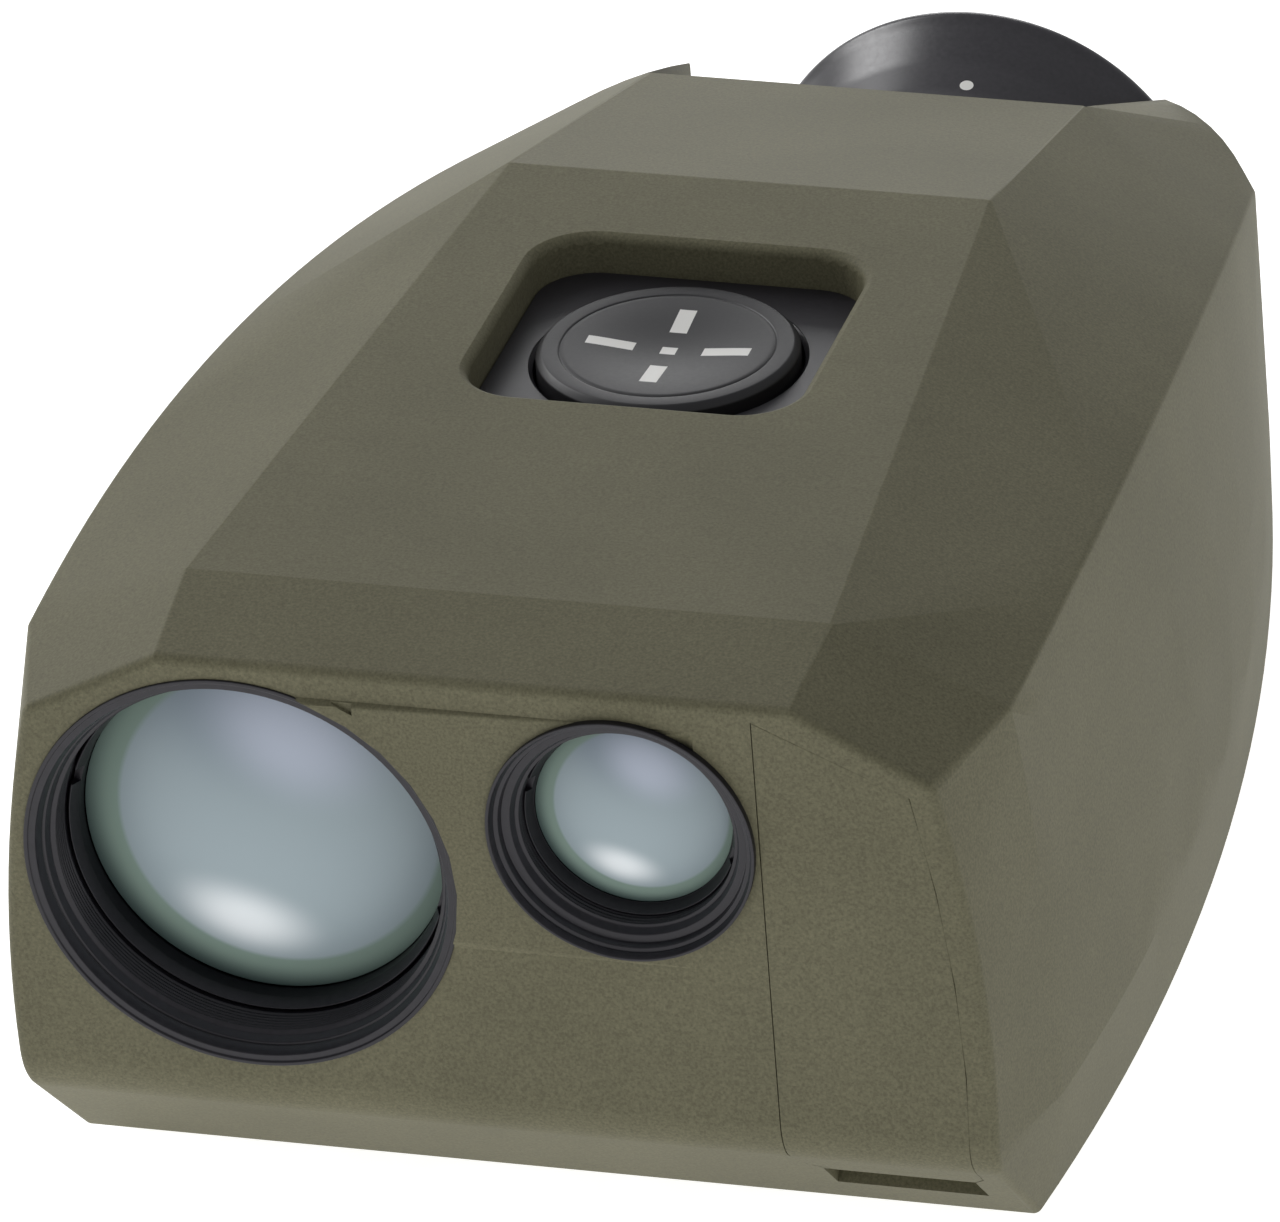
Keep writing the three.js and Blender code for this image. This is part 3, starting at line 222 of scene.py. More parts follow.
def shaded(made, angle=28, facets=()):
    """Smooth shading broken at sharp edges. Faces that look along one of the facets' normals,
    within a third of a degree, stay flat."""
    made.data.shade_smooth()
    made.data.set_sharp_from_angle(angle=math.radians(angle))
    if len(facets):
        count = len(made.data.polygons)
        looks = np.empty(count * 3)
        made.data.polygons.foreach_get("normal", looks)
        facets = np.asarray(facets, float)
        facets /= np.linalg.norm(facets, axis=1, keepdims=True)
        smooth = (looks.reshape(-1, 3) @ facets.T).max(1) < math.cos(math.radians(0.33))
        made.data.polygons.foreach_set("use_smooth", smooth)
    made.modifiers.new("even_normals", "WEIGHTED_NORMAL").keep_sharp = True
    return made


def coat_body(name):
    corners = body_corners(COAT_ROUND + COAT_SET_IN)
    return rounded_hull(name, np.vstack([corners, corners * (-1, 1, 1)]), COAT_ROUND)


RECEIVER_X, RECEIVER_Z, SIGHT_X, SIGHT_Z = -17.25, 30.1, 9.75, 35.55
PAD_PROUD, PAD_ROUND = 0.36, 0.3

housing = coat_body("housing_shell")
# The pad's lower edge is a wide bevel, and the pad sinks into the face towards its right end.
bridge = [
    (x, y, z)
    for x, proud in ((RECEIVER_X + 4.5, PAD_PROUD), (SIGHT_X + 5.5, -0.2))
    for y, low, high in ((PAD_ROUND - proud, 26.7, 44.1), (PAD_ROUND + 0.1, 25.8, 44.4), (1.5, 25.8, 44.4))
    for z in (low, high)
]
carved(housing, "UNION", rounded_hull("bridge_pad", bridge, PAD_ROUND, 2))
carved(housing, "INTERSECT", copied("housing_inside", "main_housing"))

# The recess's lip is rounded like the body's other edges.
RECESS_Y, RECESS_HALF, RECESS_CORNER = 49.6, 11.9, 4.2
ROOF_TILT = math.atan2(BROW - RIDGE_TOP, RIDGE_Y - BROW_LENGTH)
RECESS_TOP = BROW - math.tan(ROOF_TILT) * (RECESS_Y - BROW_LENGTH)


def rounded_square(half, corner, count=12):
    """Its outline, anticlockwise: four quarter circles."""
    turn = np.linspace(0, np.pi / 2, count)
    quarter = np.column_stack([np.cos(turn), np.sin(turn)]) * corner + (half - corner)
    turns = [np.array([[c, -s], [s, c]]) for c, s in ((1, 0), (0, 1), (-1, 0), (0, -1))]
    return np.vstack([quarter @ turn_by.T for turn_by in turns])


def on_roof(points):
    """Points drawn about the recess's middle on a level roof, laid on the sloping one."""
    points = np.asarray(points, float)
    c, s = math.cos(ROOF_TILT), math.sin(ROOF_TILT)
    y = points[..., 1] * c + points[..., 2] * s
    z = -points[..., 1] * s + points[..., 2] * c
    return np.stack([points[..., 0], y + RECESS_Y, z + RECESS_TOP], -1)


def stacked(name, rings):
    """A solid whose side is a stack of like rings, closed by its first and last."""
    rings = np.asarray(rings)
    count, around = rings.shape[:2]
    index = np.arange(count * around).reshape(count, around)
    after = np.roll(index, -1, 1)
    sides = np.stack([index[:-1], after[:-1], after[1:], index[1:]], -1).reshape(-1, 4).tolist()
    ends = [index[0][::-1].tolist(), index[-1].tolist()]
    return cleaned(object_from(name, placed(rings), sides + ends))


lip = []
for height, grow in ((-0.75, -0.02), (-0.4, 0.08), (-0.15, 0.28), (0.0, 0.6), (0.4, 1.5)):
    outline = rounded_square(RECESS_HALF + grow, RECESS_CORNER + grow)
    lip.append(on_roof(np.column_stack([outline, np.full(len(outline), height - 0.1)])))
carved(housing, "DIFFERENCE", stacked("lip", lip))
BODY_FACETS = [
    (0, -1, 0),
    (0, -1, -1),
    (0, 0, -1),
    (0, FACE_TOP - BROW, BROW_LENGTH),
    (0, math.sin(ROOF_TILT), math.cos(ROOF_TILT)),
    (0, RIDGE_TOP - REAR_TOP, REAR_WALL - RIDGE_Y),
]
BODY_FACETS += [(0, -math.cos(turn), -math.sin(turn)) for turn in np.linspace(0, math.pi / 4, 90)]
shaded(cleaned(housing), 28, BODY_FACETS)


def linear(code):
    """An sRGB hex colour as the linear values that a shader takes."""
    parts = np.array([int(code[i : i + 2], 16) for i in (1, 3, 5)]) / 255
    bright = np.where(parts <= 0.04045, parts / 12.92, ((parts + 0.055) / 1.055) ** 2.4)
    return (*bright.tolist(), 1.0)


def add(tree, kind, inputs=None, **settings):
    """One node: settings are its properties, inputs its sockets' values or links."""
    node = tree.nodes.new(kind)
    for key, value in settings.items():
        setattr(node, key, value)
    for key, value in (inputs or {}).items():
        socket = node.inputs[key]
        if isinstance(value, bpy.types.NodeSocket):
            tree.links.new(value, socket)
        else:
            socket.default_value = value
    return node


def new_material(name):
    """A material with its node tree, its shader and the object coordinates its textures read."""
    material = bpy.data.materials.new(name)
    material.use_nodes = True
    shader = material.node_tree.nodes["Principled BSDF"]
    where = add(material.node_tree, "ShaderNodeTexCoord").outputs["Object"]
    return material, material.node_tree, shader, where


def settle(shader, **values):
    for key, value in values.items():
        shader.inputs[key.replace("_", " ")].default_value = value


def per_metre(size_mm):
    """A noise scale whose features are about that many millimetres across."""
    return 1000 / size_mm


# Two-part polyurethane textured paint, sprayed: a fine speckle of light and dark grains
# about 0.2 mm across on a slow drift of shade, dull, with a pebbled surface.
coat, tree, shader, where = new_material("textured_polyurethane_paint_sprayed")
grain = add(
    tree,
    "ShaderNodeTexNoise",
    {"Vector": where, "Scale": per_metre(0.2), "Detail": 2.0, "Roughness": 0.6},
)
drift = add(tree, "ShaderNodeTexNoise", {"Vector": where, "Scale": per_metre(14), "Detail": 3.0})
speckle = add(tree, "ShaderNodeValToRGB", {"Fac": grain.outputs["Fac"]})
speckle.color_ramp.elements[0].position = 0.28
speckle.color_ramp.elements[0].color = linear("#585541")
speckle.color_ramp.elements[1].position = 0.72
speckle.color_ramp.elements[1].color = linear("#716e57")
shade = add(tree, "ShaderNodeValToRGB", {"Fac": drift.outputs["Fac"]})
shade.color_ramp.elements[0].position = 0.3
shade.color_ramp.elements[0].color = linear("#f0f0ee")
shade.color_ramp.elements[1].position = 0.7
shade.color_ramp.elements[1].color = linear("#ffffff")
tint = add(
    tree,
    "ShaderNodeMix",
    {0: 1.0, 6: speckle.outputs["Color"], 7: shade.outputs["Color"]},
    data_type="RGBA",
    blend_type="MULTIPLY",
)
pebbles = add(tree, "ShaderNodeTexNoise", {"Vector": where, "Scale": per_metre(0.3), "Detail": 3.0})
relief = add(
    tree,
    "ShaderNodeBump",
    {"Strength": 0.22, "Distance": 0.05 * MM, "Height": pebbles.outputs["Fac"]},
)
gloss = add(tree, "ShaderNodeMapRange", {"Value": grain.outputs["Fac"], "To Min": 0.6, "To Max": 0.75})
tree.links.new(tint.outputs[2], shader.inputs["Base Color"])
tree.links.new(gloss.outputs["Result"], shader.inputs["Roughness"])
tree.links.new(relief.outputs["Normal"], shader.inputs["Normal"])
settle(shader, IOR=1.48, Specular_IOR_Level=0.3)


def finish(made, material, body, slot, *stands_for):
    """The piece's material, the body it rides on, its slot (not used) and the CAD nodes it stands for."""
    made.data.materials.clear()
    made.data.materials.append(material)
    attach(made, body)
    if stands_for:
        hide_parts(*stands_for)
    return made


def repaint(material, *names):
    for name in names:
        slots = nodes[name].material_slots
        for slot in slots:
            slot.material = material


finish(housing, coat, "body", "olive_coat", "main_housing")
repaint(coat, "base_cover")

# ---- Battery flap ---------------------------------------------------------------------
# A moulded lid with the housing's own coat, let in flush beside the sight bore. It is thin,
# bends back onto the chin, and hangs on a film hinge along its sloping top edge. Only a
# hairline seam shows round it.

FLAP_LEFT, FLAP_TOP_LEFT, FLAP_SLOPE = 19.6, 45.2, 0.468
FLAP_FOOT, FLAP_MARGIN, FLAP_THICK = 8.4, 2.4, 1.6
SEAM = 0.05  # left open of the CAD parts' 0.3 mm gap


def flap_outline(grow):
    """Left side, sloping top, the right side parallel to the face's edge, and the foot."""
    left, foot = FLAP_LEFT - grow, FLAP_FOOT - grow
    right_top = FLAP_TOP_LEFT - FLAP_SLOPE * (face_half(CORNER_TOP) - FLAP_MARGIN - FLAP_LEFT)
    z = np.linspace(right_top + grow, CHIN, 12)
    turn = np.linspace(0, np.pi / 2, 8)
    corner = np.column_stack([left + 2.6 * (1 - np.sin(turn)), foot + 2.6 * (1 - np.cos(turn))])
    edge = np.column_stack([face_half(z) - FLAP_MARGIN + grow, z])
    last = edge[-1, 0]
    top_left = [(left, FLAP_TOP_LEFT + grow * (1.1 + FLAP_SLOPE))]
    return np.vstack([corner, top_left, edge, [(last, foot + 0.8), (last - 0.8, foot)]])


def swept(name, outline, start, end, axis):
    """A closed outline carried straight along x or y from start to end."""
    outline = np.asarray(outline, float)
    rings = []
    for at in (start, end):
        columns = list(outline.T)
        columns.insert(axis, np.full(len(outline), at))
        rings.append(np.column_stack(columns))
    return stacked(name, rings)


bend = FLAP_THICK * (math.sqrt(2) - 1)
section = [
    (-3, 52),
    (-3, CHIN + 3),
    (9, CHIN - 9.2),
    (9 + FLAP_THICK * 0.7, CHIN - 9 + FLAP_THICK * 0.7),
    (FLAP_THICK, CHIN + bend),
    (FLAP_THICK, 52),
]
flap = coat_body("flap_shell")
carved(
    flap,
    "INTERSECT",
    swept("flap_edge", flap_outline(0.3 - SEAM), -2, 14, 1),
    swept("flap_depth", section, 10, 45, 0),
)
# Its upper left corner is cut back behind the surface, where it swings past the housing.
relief_corners = [(x, y, z) for x in (18, 20.3) for y in (0.5, 3) for z in (42.6, 48)]
carved(flap, "DIFFERENCE", hull("corner_relief", placed(relief_corners)))
chamfer = flap.modifiers.new("edge_chamfer", "BEVEL")
chamfer.width, chamfer.segments = 0.2 * MM, 2
chamfer.limit_method, chamfer.angle_limit = "ANGLE", math.radians(60)
shaded(cleaned(flap), 28, BODY_FACETS)
finish(flap, coat, "flap", "olive_coat", "battery_flap")

# ---- Objectives -----------------------------------------------------------------------
# Two lens barrels turned from aluminium bar and anodised black. Inside each mouth there is
# a step, then a run of fine glare-stopping grooves, then a threaded ring with two spanner
# slots that holds the glass.


def eased(outline, radius=0.1, steps=4):
    """Each corner of a closed outline becomes a quadratic arc. It starts and ends at radius from
    the corner, or at 0.45 of the shorter side. Corners on the axis stay."""
    p = np.asarray(outline, float)
    back, ahead = np.roll(p, 1, 0) - p, np.roll(p, -1, 0) - p
    back_long = np.linalg.norm(back, axis=1, keepdims=True)
    ahead_long = np.linalg.norm(ahead, axis=1, keepdims=True)
    reach = np.minimum(radius, 0.45 * np.minimum(back_long, ahead_long)) * (p[:, :1] > 1e-6)
    start, end = p + back / back_long * reach, p + ahead / ahead_long * reach
    t = np.linspace(0, 1, steps)[None, :, None]
    arcs = (1 - t) ** 2 * start[:, None] + 2 * t * (1 - t) * p[:, None] + t**2 * end[:, None]
    return arcs.reshape(-1, 2)


def revolved(name, points):
    """The skin over rows of points that each run once round an axis, the last joined to the first."""
    index = np.arange(points.shape[0] * points.shape[1]).reshape(points.shape[:2])
    down, across = np.roll(index, -1, 0), np.roll(index, -1, 1)
    both = np.roll(down, -1, 1)
    faces = np.stack([index, across, both, down], -1).reshape(-1, 4).tolist()
    return shaded(cleaned(object_from(name, placed(points), faces)), 35)


def turned(name, outline, x, z, around=160):
    """A closed outline of (radius, distance back) turned about the line through (x, z)."""
    outline = np.asarray(outline, float)
    turn = np.linspace(0, 2 * np.pi, around, endpoint=False)
    radius, back = outline[:, 0][:, None], outline[:, 1][:, None]
    points = np.stack([x + radius * np.sin(turn), back + 0 * turn, z + radius * np.cos(turn)], -1)
    return revolved(name, points)


def grooves(radius, start, end, depth, pitch):
    """A saw-toothed wall from start to end: in and out once each pitch."""
    count = round(abs(end - start) / pitch)
    back = np.linspace(start, end, 2 * count + 1)
    deep = radius + depth * (np.arange(len(back)) % 2)
    return list(zip(deep, back))


# Aluminium, lathe-turned and anodised black: a satin skin with faint turning marks that
# run round it, and a slight violet cast.
anodised, tree, shader, where = new_material("black_anodised_aluminium_turned")
marks = add(tree, "ShaderNodeTexNoise", {"Vector": where, "Scale": per_metre(0.5), "Detail": 4.0})
mottle = add(tree, "ShaderNodeValToRGB", {"Fac": marks.outputs["Fac"]})
mottle.color_ramp.elements[0].color = linear("#18171b")
mottle.color_ramp.elements[1].color = linear("#2a282e")
gloss = add(tree, "ShaderNodeMapRange", {"Value": marks.outputs["Fac"], "To Min": 0.26, "To Max": 0.42})
relief = add(
    tree,
    "ShaderNodeBump",
    {"Strength": 0.12, "Distance": 0.02 * MM, "Height": marks.outputs["Fac"]},
)
tree.links.new(mottle.outputs["Color"], shader.inputs["Base Color"])
tree.links.new(gloss.outputs["Result"], shader.inputs["Roughness"])
tree.links.new(relief.outputs["Normal"], shader.inputs["Normal"])
settle(shader, Metallic=0.35)


def coated_glass(name, x, z, radius):
    """Crown glass, polished and antireflection-coated in grey-green. Its colour turns greener in a crescent
    at one edge and darkens outwards there, and it carries painted reflections: a near-white highlight low
    down, a pale bluish one high on the right and a darker blue-grey band across the top."""
    material, tree, shader, where = new_material(name)

    def spot(across, up, half_wide, half_high, tilt):
        """How far a point of the dome is from a spot, given in radii: 0 there, 1 on its ellipse."""
        at = placed((x + across * radius, 0, z + up * radius))
        local = add(
            tree,
            "ShaderNodeMapping",
            {
                "Vector": where,
                "Location": tuple(at.tolist()),
                "Rotation": (0, math.radians(tilt), 0),
                "Scale": (half_wide * radius * MM, 1, half_high * radius * MM),
            },
            vector_type="TEXTURE",
        )
        flat = add(tree, "ShaderNodeVectorMath", {0: local.outputs[0], 1: (1, 0, 1)}, operation="MULTIPLY")
        return add(tree, "ShaderNodeVectorMath", {0: flat.outputs[0]}, operation="LENGTH").outputs["Value"]

    away = spot(0.1, 0.115, 1, 1, 0)
    edge = add(tree, "ShaderNodeMapRange", {"Value": away, "From Min": 0.86, "From Max": 0.89})
    darker = add(
        tree,
        "ShaderNodeMapRange",
        {"Value": away, "From Min": 0.93, "From Max": 1.15},
        interpolation_type="SMOOTHSTEP",
    )
    crescent = add(
        tree,
        "ShaderNodeMix",
        {0: darker.outputs["Result"], 6: linear("#869a90"), 7: linear("#526361")},
        data_type="RGBA",
    )
    # Each painted reflection has its place on the dome, its strength in the middle and its colour.
    glass_and_reflections = linear("#9ba9af")
    for place, most, colour in [
        ((0.0, 0.9, 1.3, 0.75, 12), 0.8, "#85919f"),
        ((0.22, 0.66, 0.75, 0.45, 26), 0.9, "#c0c8d8"),
        ((-0.1, -0.47, 0.55, 0.33, 16), 0.85, "#f2f7fa"),
    ]:
        painted_reflection = add(
            tree,
            "ShaderNodeMapRange",
            {"Value": spot(*place), "From Min": 0.0, "From Max": 1.0, "To Min": most, "To Max": 0.0},
            interpolation_type="SMOOTHERSTEP",
        )
        reflected = add(
            tree,
            "ShaderNodeMix",
            {0: painted_reflection.outputs["Result"], 6: glass_and_reflections, 7: linear(colour)},
            data_type="RGBA",
        )
        glass_and_reflections = reflected.outputs[2]
    whole = add(
        tree,
        "ShaderNodeMix",
        {0: edge.outputs["Result"], 6: glass_and_reflections, 7: crescent.outputs[2]},
        data_type="RGBA",
    )
    tree.links.new(whole.outputs[2], shader.inputs["Base Color"])
    settle(shader, Roughness=0.4, IOR=1.52, Specular_IOR_Level=0.25)
    return material


def dome(radius, front, back, rise, hollow, steps=24):
    """A lens: a spherical front, a short ground edge and a shallower back."""
    share = np.sin(np.linspace(0, np.pi / 2, steps))
    face = np.column_stack([radius * share, front - rise * (1 - share**2)])
    rear = np.column_stack([radius * share[::-1], back + hollow * (1 - share[::-1] ** 2)])
    return np.vstack([face, rear])


receiver_profile = (
    [(15.0, -0.06), (15.27, -0.06), (15.27, 0.5), (14.98, 0.5), (14.98, 3.0), (14.98, 9.6)]
    + [(13.35, 9.6), (13.35, 24.15), (7.6, 31.15), (7.6, 34.15), (6.4, 34.15), (6.4, 31.15)]
    + [(12.15, 24.15), (12.15, 9.4), (13.65, 9.4)]
    + grooves(13.55, 3.9, 1.9, 0.15, 0.34)
    + [(13.7, 1.8), (13.9, 1.7), (14.08, 1.05), (14.3, 1.0), (14.3, 0.9), (14.2, 0.85)]
    + [(14.5, 0.08), (14.94, 0.08)]
)
receiver = turned("receiver_tube", eased(receiver_profile, 0.07), RECEIVER_X, RECEIVER_Z)
finish(receiver, anodised, "body", "black_anodised", "receiver_barrel")

sight_profile = (
    [(9.12, -0.42), (9.32, -0.42), (9.32, 0.3), (8.95, 0.5), (8.95, 9.6), (7.85, 9.6)]
    + [(7.85, 22.0), (5.6, 22.0), (5.6, 6.9), (7.5, 6.9)]
    + grooves(7.45, 2.5, 1.4, 0.14, 0.32)
    + [(7.72, 1.35), (7.95, 0.8), (8.45, 0.75), (8.5, 0.72), (8.6, 0.2), (8.9, 0.15)]
    + [(8.92, 0.05), (8.9, 0.02)]
)
sight = turned("sight_tube", eased(sight_profile, 0.07), SIGHT_X, SIGHT_Z)
finish(sight, anodised, "body", "black_anodised", "sight_barrel")


def slotted_ring(name, glass, front, back, x, z, angle, slot_wide, slot_deep):
    """A ring with a bevelled mouth and two spanner slots opposite each other in its front."""
    outer = glass + 0.6
    outline = [(outer - 0.15, front), (outer, front + 0.1), (outer, back), (glass + 0.05, back)]
    made = turned(name, eased([*outline, (glass + 0.05, front + 0.9)], 0.1), x, z)
    made.modifiers.clear()
    c, s = math.cos(angle), math.sin(angle)
    along, across = np.array([c, 0, s]), np.array([-s, 0, c])
    centre = np.array([x, 0, z])
    corners = [
        centre + along * a + across * b + np.array([0, y, 0])
        for a in (-outer - 1, outer + 1)
        for b in (-slot_wide / 2, slot_wide / 2)
        for y in (front - 1, front + slot_deep)
    ]
    carved(made, "DIFFERENCE", hull("slots", placed(corners)))
    return shaded(cleaned(made), 35)


receiver_ring = slotted_ring(
    "receiver_retaining_ring", 12.8, 4.0, 6.1, RECEIVER_X, RECEIVER_Z, -0.3, 1.3, 0.9
)
finish(receiver_ring, anodised, "body", "black_anodised", "receiver_lens_ring")
sight_ring = slotted_ring("sight_retaining_ring", 6.85, 2.35, 3.2, SIGHT_X, SIGHT_Z, -0.3, 1.1, 0.6)
finish(sight_ring, anodised, "body", "black_anodised", "sight_lens_ring")

# Both glasses have painted highlights and a painted dark reflection in their colour.
receiver_glass = turned("receiver_glass", dome(12.8, 6.2, 9.1, 3.2, 0.9), RECEIVER_X, RECEIVER_Z)
large_glass_reflections = coated_glass("coated_crown_glass_painted_reflections_large", RECEIVER_X, RECEIVER_Z, 12.8)
finish(receiver_glass, large_glass_reflections, "body", "coated_glass", "receiver_lens")
sight_glass = turned("sight_glass", dome(6.85, 3.3, 6.6, 1.8, 0.6), SIGHT_X, SIGHT_Z)
small_glass_reflections = coated_glass("coated_crown_glass_painted_reflections_small", SIGHT_X, SIGHT_Z, 6.85)
finish(sight_glass, small_glass_reflections, "body", "coated_glass", "sight_lens")

# ---- Fire button ----------------------------------------------------------------------
# A black plastic disc with a thumb dish, in a flat plate at the bottom of the recess. A
# plain cross with a gap round its centre mark is printed on it in pale grey.

PLATE_TOP, PLATE_UNDER, BUTTON_TOP = -3.0, -4.6, -1.9


def upright(name, outline, around=160):
    """A closed outline of (radius, height over the roof) turned about the recess's middle."""
    outline = np.asarray(outline, float)
    turn = np.linspace(0, 2 * np.pi, around, endpoint=False)
    radius, height = outline[:, 0][:, None], outline[:, 1][:, None]
    points = np.stack([radius * np.cos(turn), radius * np.sin(turn), height + 0 * turn], -1)
    return revolved(name, on_roof(points))


def dish(radius):
    """Depth of the thumb dish: a cosine bowl that meets the rim level."""
    return -0.25 * (1 + np.cos(np.pi * np.minimum(radius / 7.3, 1)))


dish_radius = np.linspace(0, 7.4, 26)
button_outline = np.vstack(
    [
        np.column_stack([dish_radius, BUTTON_TOP + dish(dish_radius)]),
        eased(
            [(7.6, BUTTON_TOP), (8.75, BUTTON_TOP), (9.2, BUTTON_TOP - 0.45)]
            + [(9.2, -4.9), (2, -4.9), (2, -7.6)]
        ),
        [(0, -7.6)],
    ]
)
button = upright("thumb_button", button_outline[::-1])

# Polycarbonate, injection-moulded with a fine spark-eroded texture, satin black; the cross
# is pad-printed, so it is flat, pale and a little rough.
printed, tree, shader, where = new_material("black_polycarbonate_moulded_and_printed")
centred = add(
    tree,
    "ShaderNodeVectorMath",
    {0: where, 1: tuple(placed((0, RECESS_Y, 0)).tolist())},
    operation="SUBTRACT",
)
folded = add(tree, "ShaderNodeVectorMath", {0: centred.outputs[0]}, operation="ABSOLUTE")
split = add(tree, "ShaderNodeSeparateXYZ", {"Vector": folded.outputs[0]})


def bar(nodes_in, x_middle, x_half, y_middle, y_half):
    """1 inside a printed rectangle and its mirror images, else 0."""
    in_x = add(
        nodes_in,
        "ShaderNodeMath",
        {0: split.outputs["X"], 1: x_middle * MM, 2: x_half * MM},
        operation="COMPARE",
    )
    in_y = add(
        nodes_in,
        "ShaderNodeMath",
        {0: split.outputs["Y"], 1: y_middle * MM, 2: y_half * MM},
        operation="COMPARE",
    )
    both = add(nodes_in, "ShaderNodeMath", {0: in_x.outputs[0], 1: in_y.outputs[0]}, operation="MULTIPLY")
    return both.outputs[0]


side_bars = bar(tree, 4.15, 1.7, 0, 0.55)
long_bars = bar(tree, 0, 0.62, 3.9, 1.45)
middle_mark = bar(tree, 0, 0.55, 0, 0.5)
two = add(tree, "ShaderNodeMath", {0: side_bars, 1: long_bars}, operation="MAXIMUM")
cross = add(tree, "ShaderNodeMath", {0: two.outputs[0], 1: middle_mark}, operation="MAXIMUM")
texture = add(tree, "ShaderNodeTexNoise", {"Vector": where, "Scale": per_metre(0.3), "Detail": 3.0})
blacks = add(tree, "ShaderNodeValToRGB", {"Fac": texture.outputs["Fac"]})
blacks.color_ramp.elements[0].color = linear("#131215")
blacks.color_ramp.elements[1].color = linear("#1f1e22")
ink = add(
    tree,
    "ShaderNodeMix",
    {0: cross.outputs[0], 6: blacks.outputs["Color"], 7: linear("#d9d8d4")},
    data_type="RGBA",
)
gloss = add(tree, "ShaderNodeMapRange", {"Value": texture.outputs["Fac"], "To Min": 0.42, "To Max": 0.55})
relief = add(
    tree,
    "ShaderNodeBump",
    {"Strength": 0.15, "Distance": 0.02 * MM, "Height": texture.outputs["Fac"]},
)
tree.links.new(ink.outputs[2], shader.inputs["Base Color"])
tree.links.new(gloss.outputs["Result"], shader.inputs["Roughness"])
tree.links.new(relief.outputs["Normal"], shader.inputs["Normal"])
finish(button, printed, "button", "black_plastic", "fire_button")

plate_outline = rounded_square(RECESS_HALF - 0.08, RECESS_CORNER - 0.08)
plate_rings = [
    on_roof(np.column_stack([plate_outline * (1 - 0.002 * i), np.full(len(plate_outline), h)]))
    for i, h in enumerate((PLATE_UNDER, PLATE_TOP - 0.05, PLATE_TOP))
]
plate = stacked("button_bezel", plate_rings)
# The button passes through a stepped hole.
hole = upright(
    "hole",
    [(0, -6), (9.45, -6), (9.45, -3.35), (9.75, -3.1), (9.75, -3.0), (10.1, -2.95)]
    + [(10.1, -2.0), (0, -2.0)],
)
hole.modifiers.clear()
carved(plate, "DIFFERENCE", hole)
shaded(cleaned(plate), 25)

# The same polycarbonate without print.
plastic, tree, shader, where = new_material("black_polycarbonate_moulded")
texture = add(tree, "ShaderNodeTexNoise", {"Vector": where, "Scale": per_metre(0.3), "Detail": 3.0})
blacks = add(tree, "ShaderNodeValToRGB", {"Fac": texture.outputs["Fac"]})
blacks.color_ramp.elements[0].color = linear("#1a191d")
blacks.color_ramp.elements[1].color = linear("#29272c")
gloss = add(tree, "ShaderNodeMapRange", {"Value": texture.outputs["Fac"], "To Min": 0.3, "To Max": 0.45})
relief = add(
    tree,
    "ShaderNodeBump",
    {"Strength": 0.15, "Distance": 0.02 * MM, "Height": texture.outputs["Fac"]},
)
tree.links.new(blacks.outputs["Color"], shader.inputs["Base Color"])
tree.links.new(gloss.outputs["Result"], shader.inputs["Roughness"])
tree.links.new(relief.outputs["Normal"], shader.inputs["Normal"])
finish(plate, plastic, "body", "black_plastic", "button_plate")
repaint(plastic, "range_display", "battery_sleeve", "processor_chip")

# ---- Eyepiece -------------------------------------------------------------------------
# A flared dioptre cup of hard black rubber on an anodised tube. It turns between stops, and
# a filled white dot on its flank shows how far.

EYE_X, EYE_Z = 4.2, 17.2
cup_outline = [
    (11.9, 101.7),
    (13.2, 101.7),
    (14.0, 102.8),
    (14.05, 106.2),
    (14.35, 108.6),
    (15.1, 111.6),
    (16.3, 114.9),
    (16.72, 115.7),
    (16.6, 116.3),
    (15.9, 116.3),
    (15.1, 114.4),
    (13.2, 111.7),
    (9.6, 111.0),
    (9.6, 109.8),
    (11.9, 109.8),
]
eyecup = turned("dioptre_cup", eased(cup_outline, 0.45, 6), EYE_X, EYE_Z, 192)
cup, tree, shader, where = new_material("black_hard_rubber_moulded")
DOT = placed((EYE_X + 1.02, 109.2, EYE_Z + 14.6))
to_dot = add(tree, "ShaderNodeVectorMath", {0: where, 1: tuple(DOT.tolist())}, operation="DISTANCE")
in_dot = add(tree, "ShaderNodeMath", {0: to_dot.outputs["Value"], 1: 0.52 * MM}, operation="LESS_THAN")
texture = add(tree, "ShaderNodeTexNoise", {"Vector": where, "Scale": per_metre(0.35), "Detail": 3.0})
blacks = add(tree, "ShaderNodeValToRGB", {"Fac": texture.outputs["Fac"]})
blacks.color_ramp.elements[0].color = linear("#29282c")
blacks.color_ramp.elements[1].color = linear("#3b393e")
paint = add(
    tree,
    "ShaderNodeMix",
    {0: in_dot.outputs[0], 6: blacks.outputs["Color"], 7: linear("#f0efea")},
    data_type="RGBA",
)
gloss = add(tree, "ShaderNodeMapRange", {"Value": texture.outputs["Fac"], "To Min": 0.26, "To Max": 0.4})
relief = add(
    tree,
    "ShaderNodeBump",
    {"Strength": 0.15, "Distance": 0.02 * MM, "Height": texture.outputs["Fac"]},
)
tree.links.new(paint.outputs[2], shader.inputs["Base Color"])
tree.links.new(gloss.outputs["Result"], shader.inputs["Roughness"])
tree.links.new(relief.outputs["Normal"], shader.inputs["Normal"])
finish(eyecup, cup, "dioptre_ring", "black_plastic", "eyecup")
repaint(anodised, "rear_cover", "eyepiece_tube", "eye_lens_cell")

# ---- Screws, bushes, boards and cells -------------------------------------------------
# Bought-in pieces that show only when the flap is open or the covers are off. Each keeps
# its own shape and gets the finish of what it is made of.


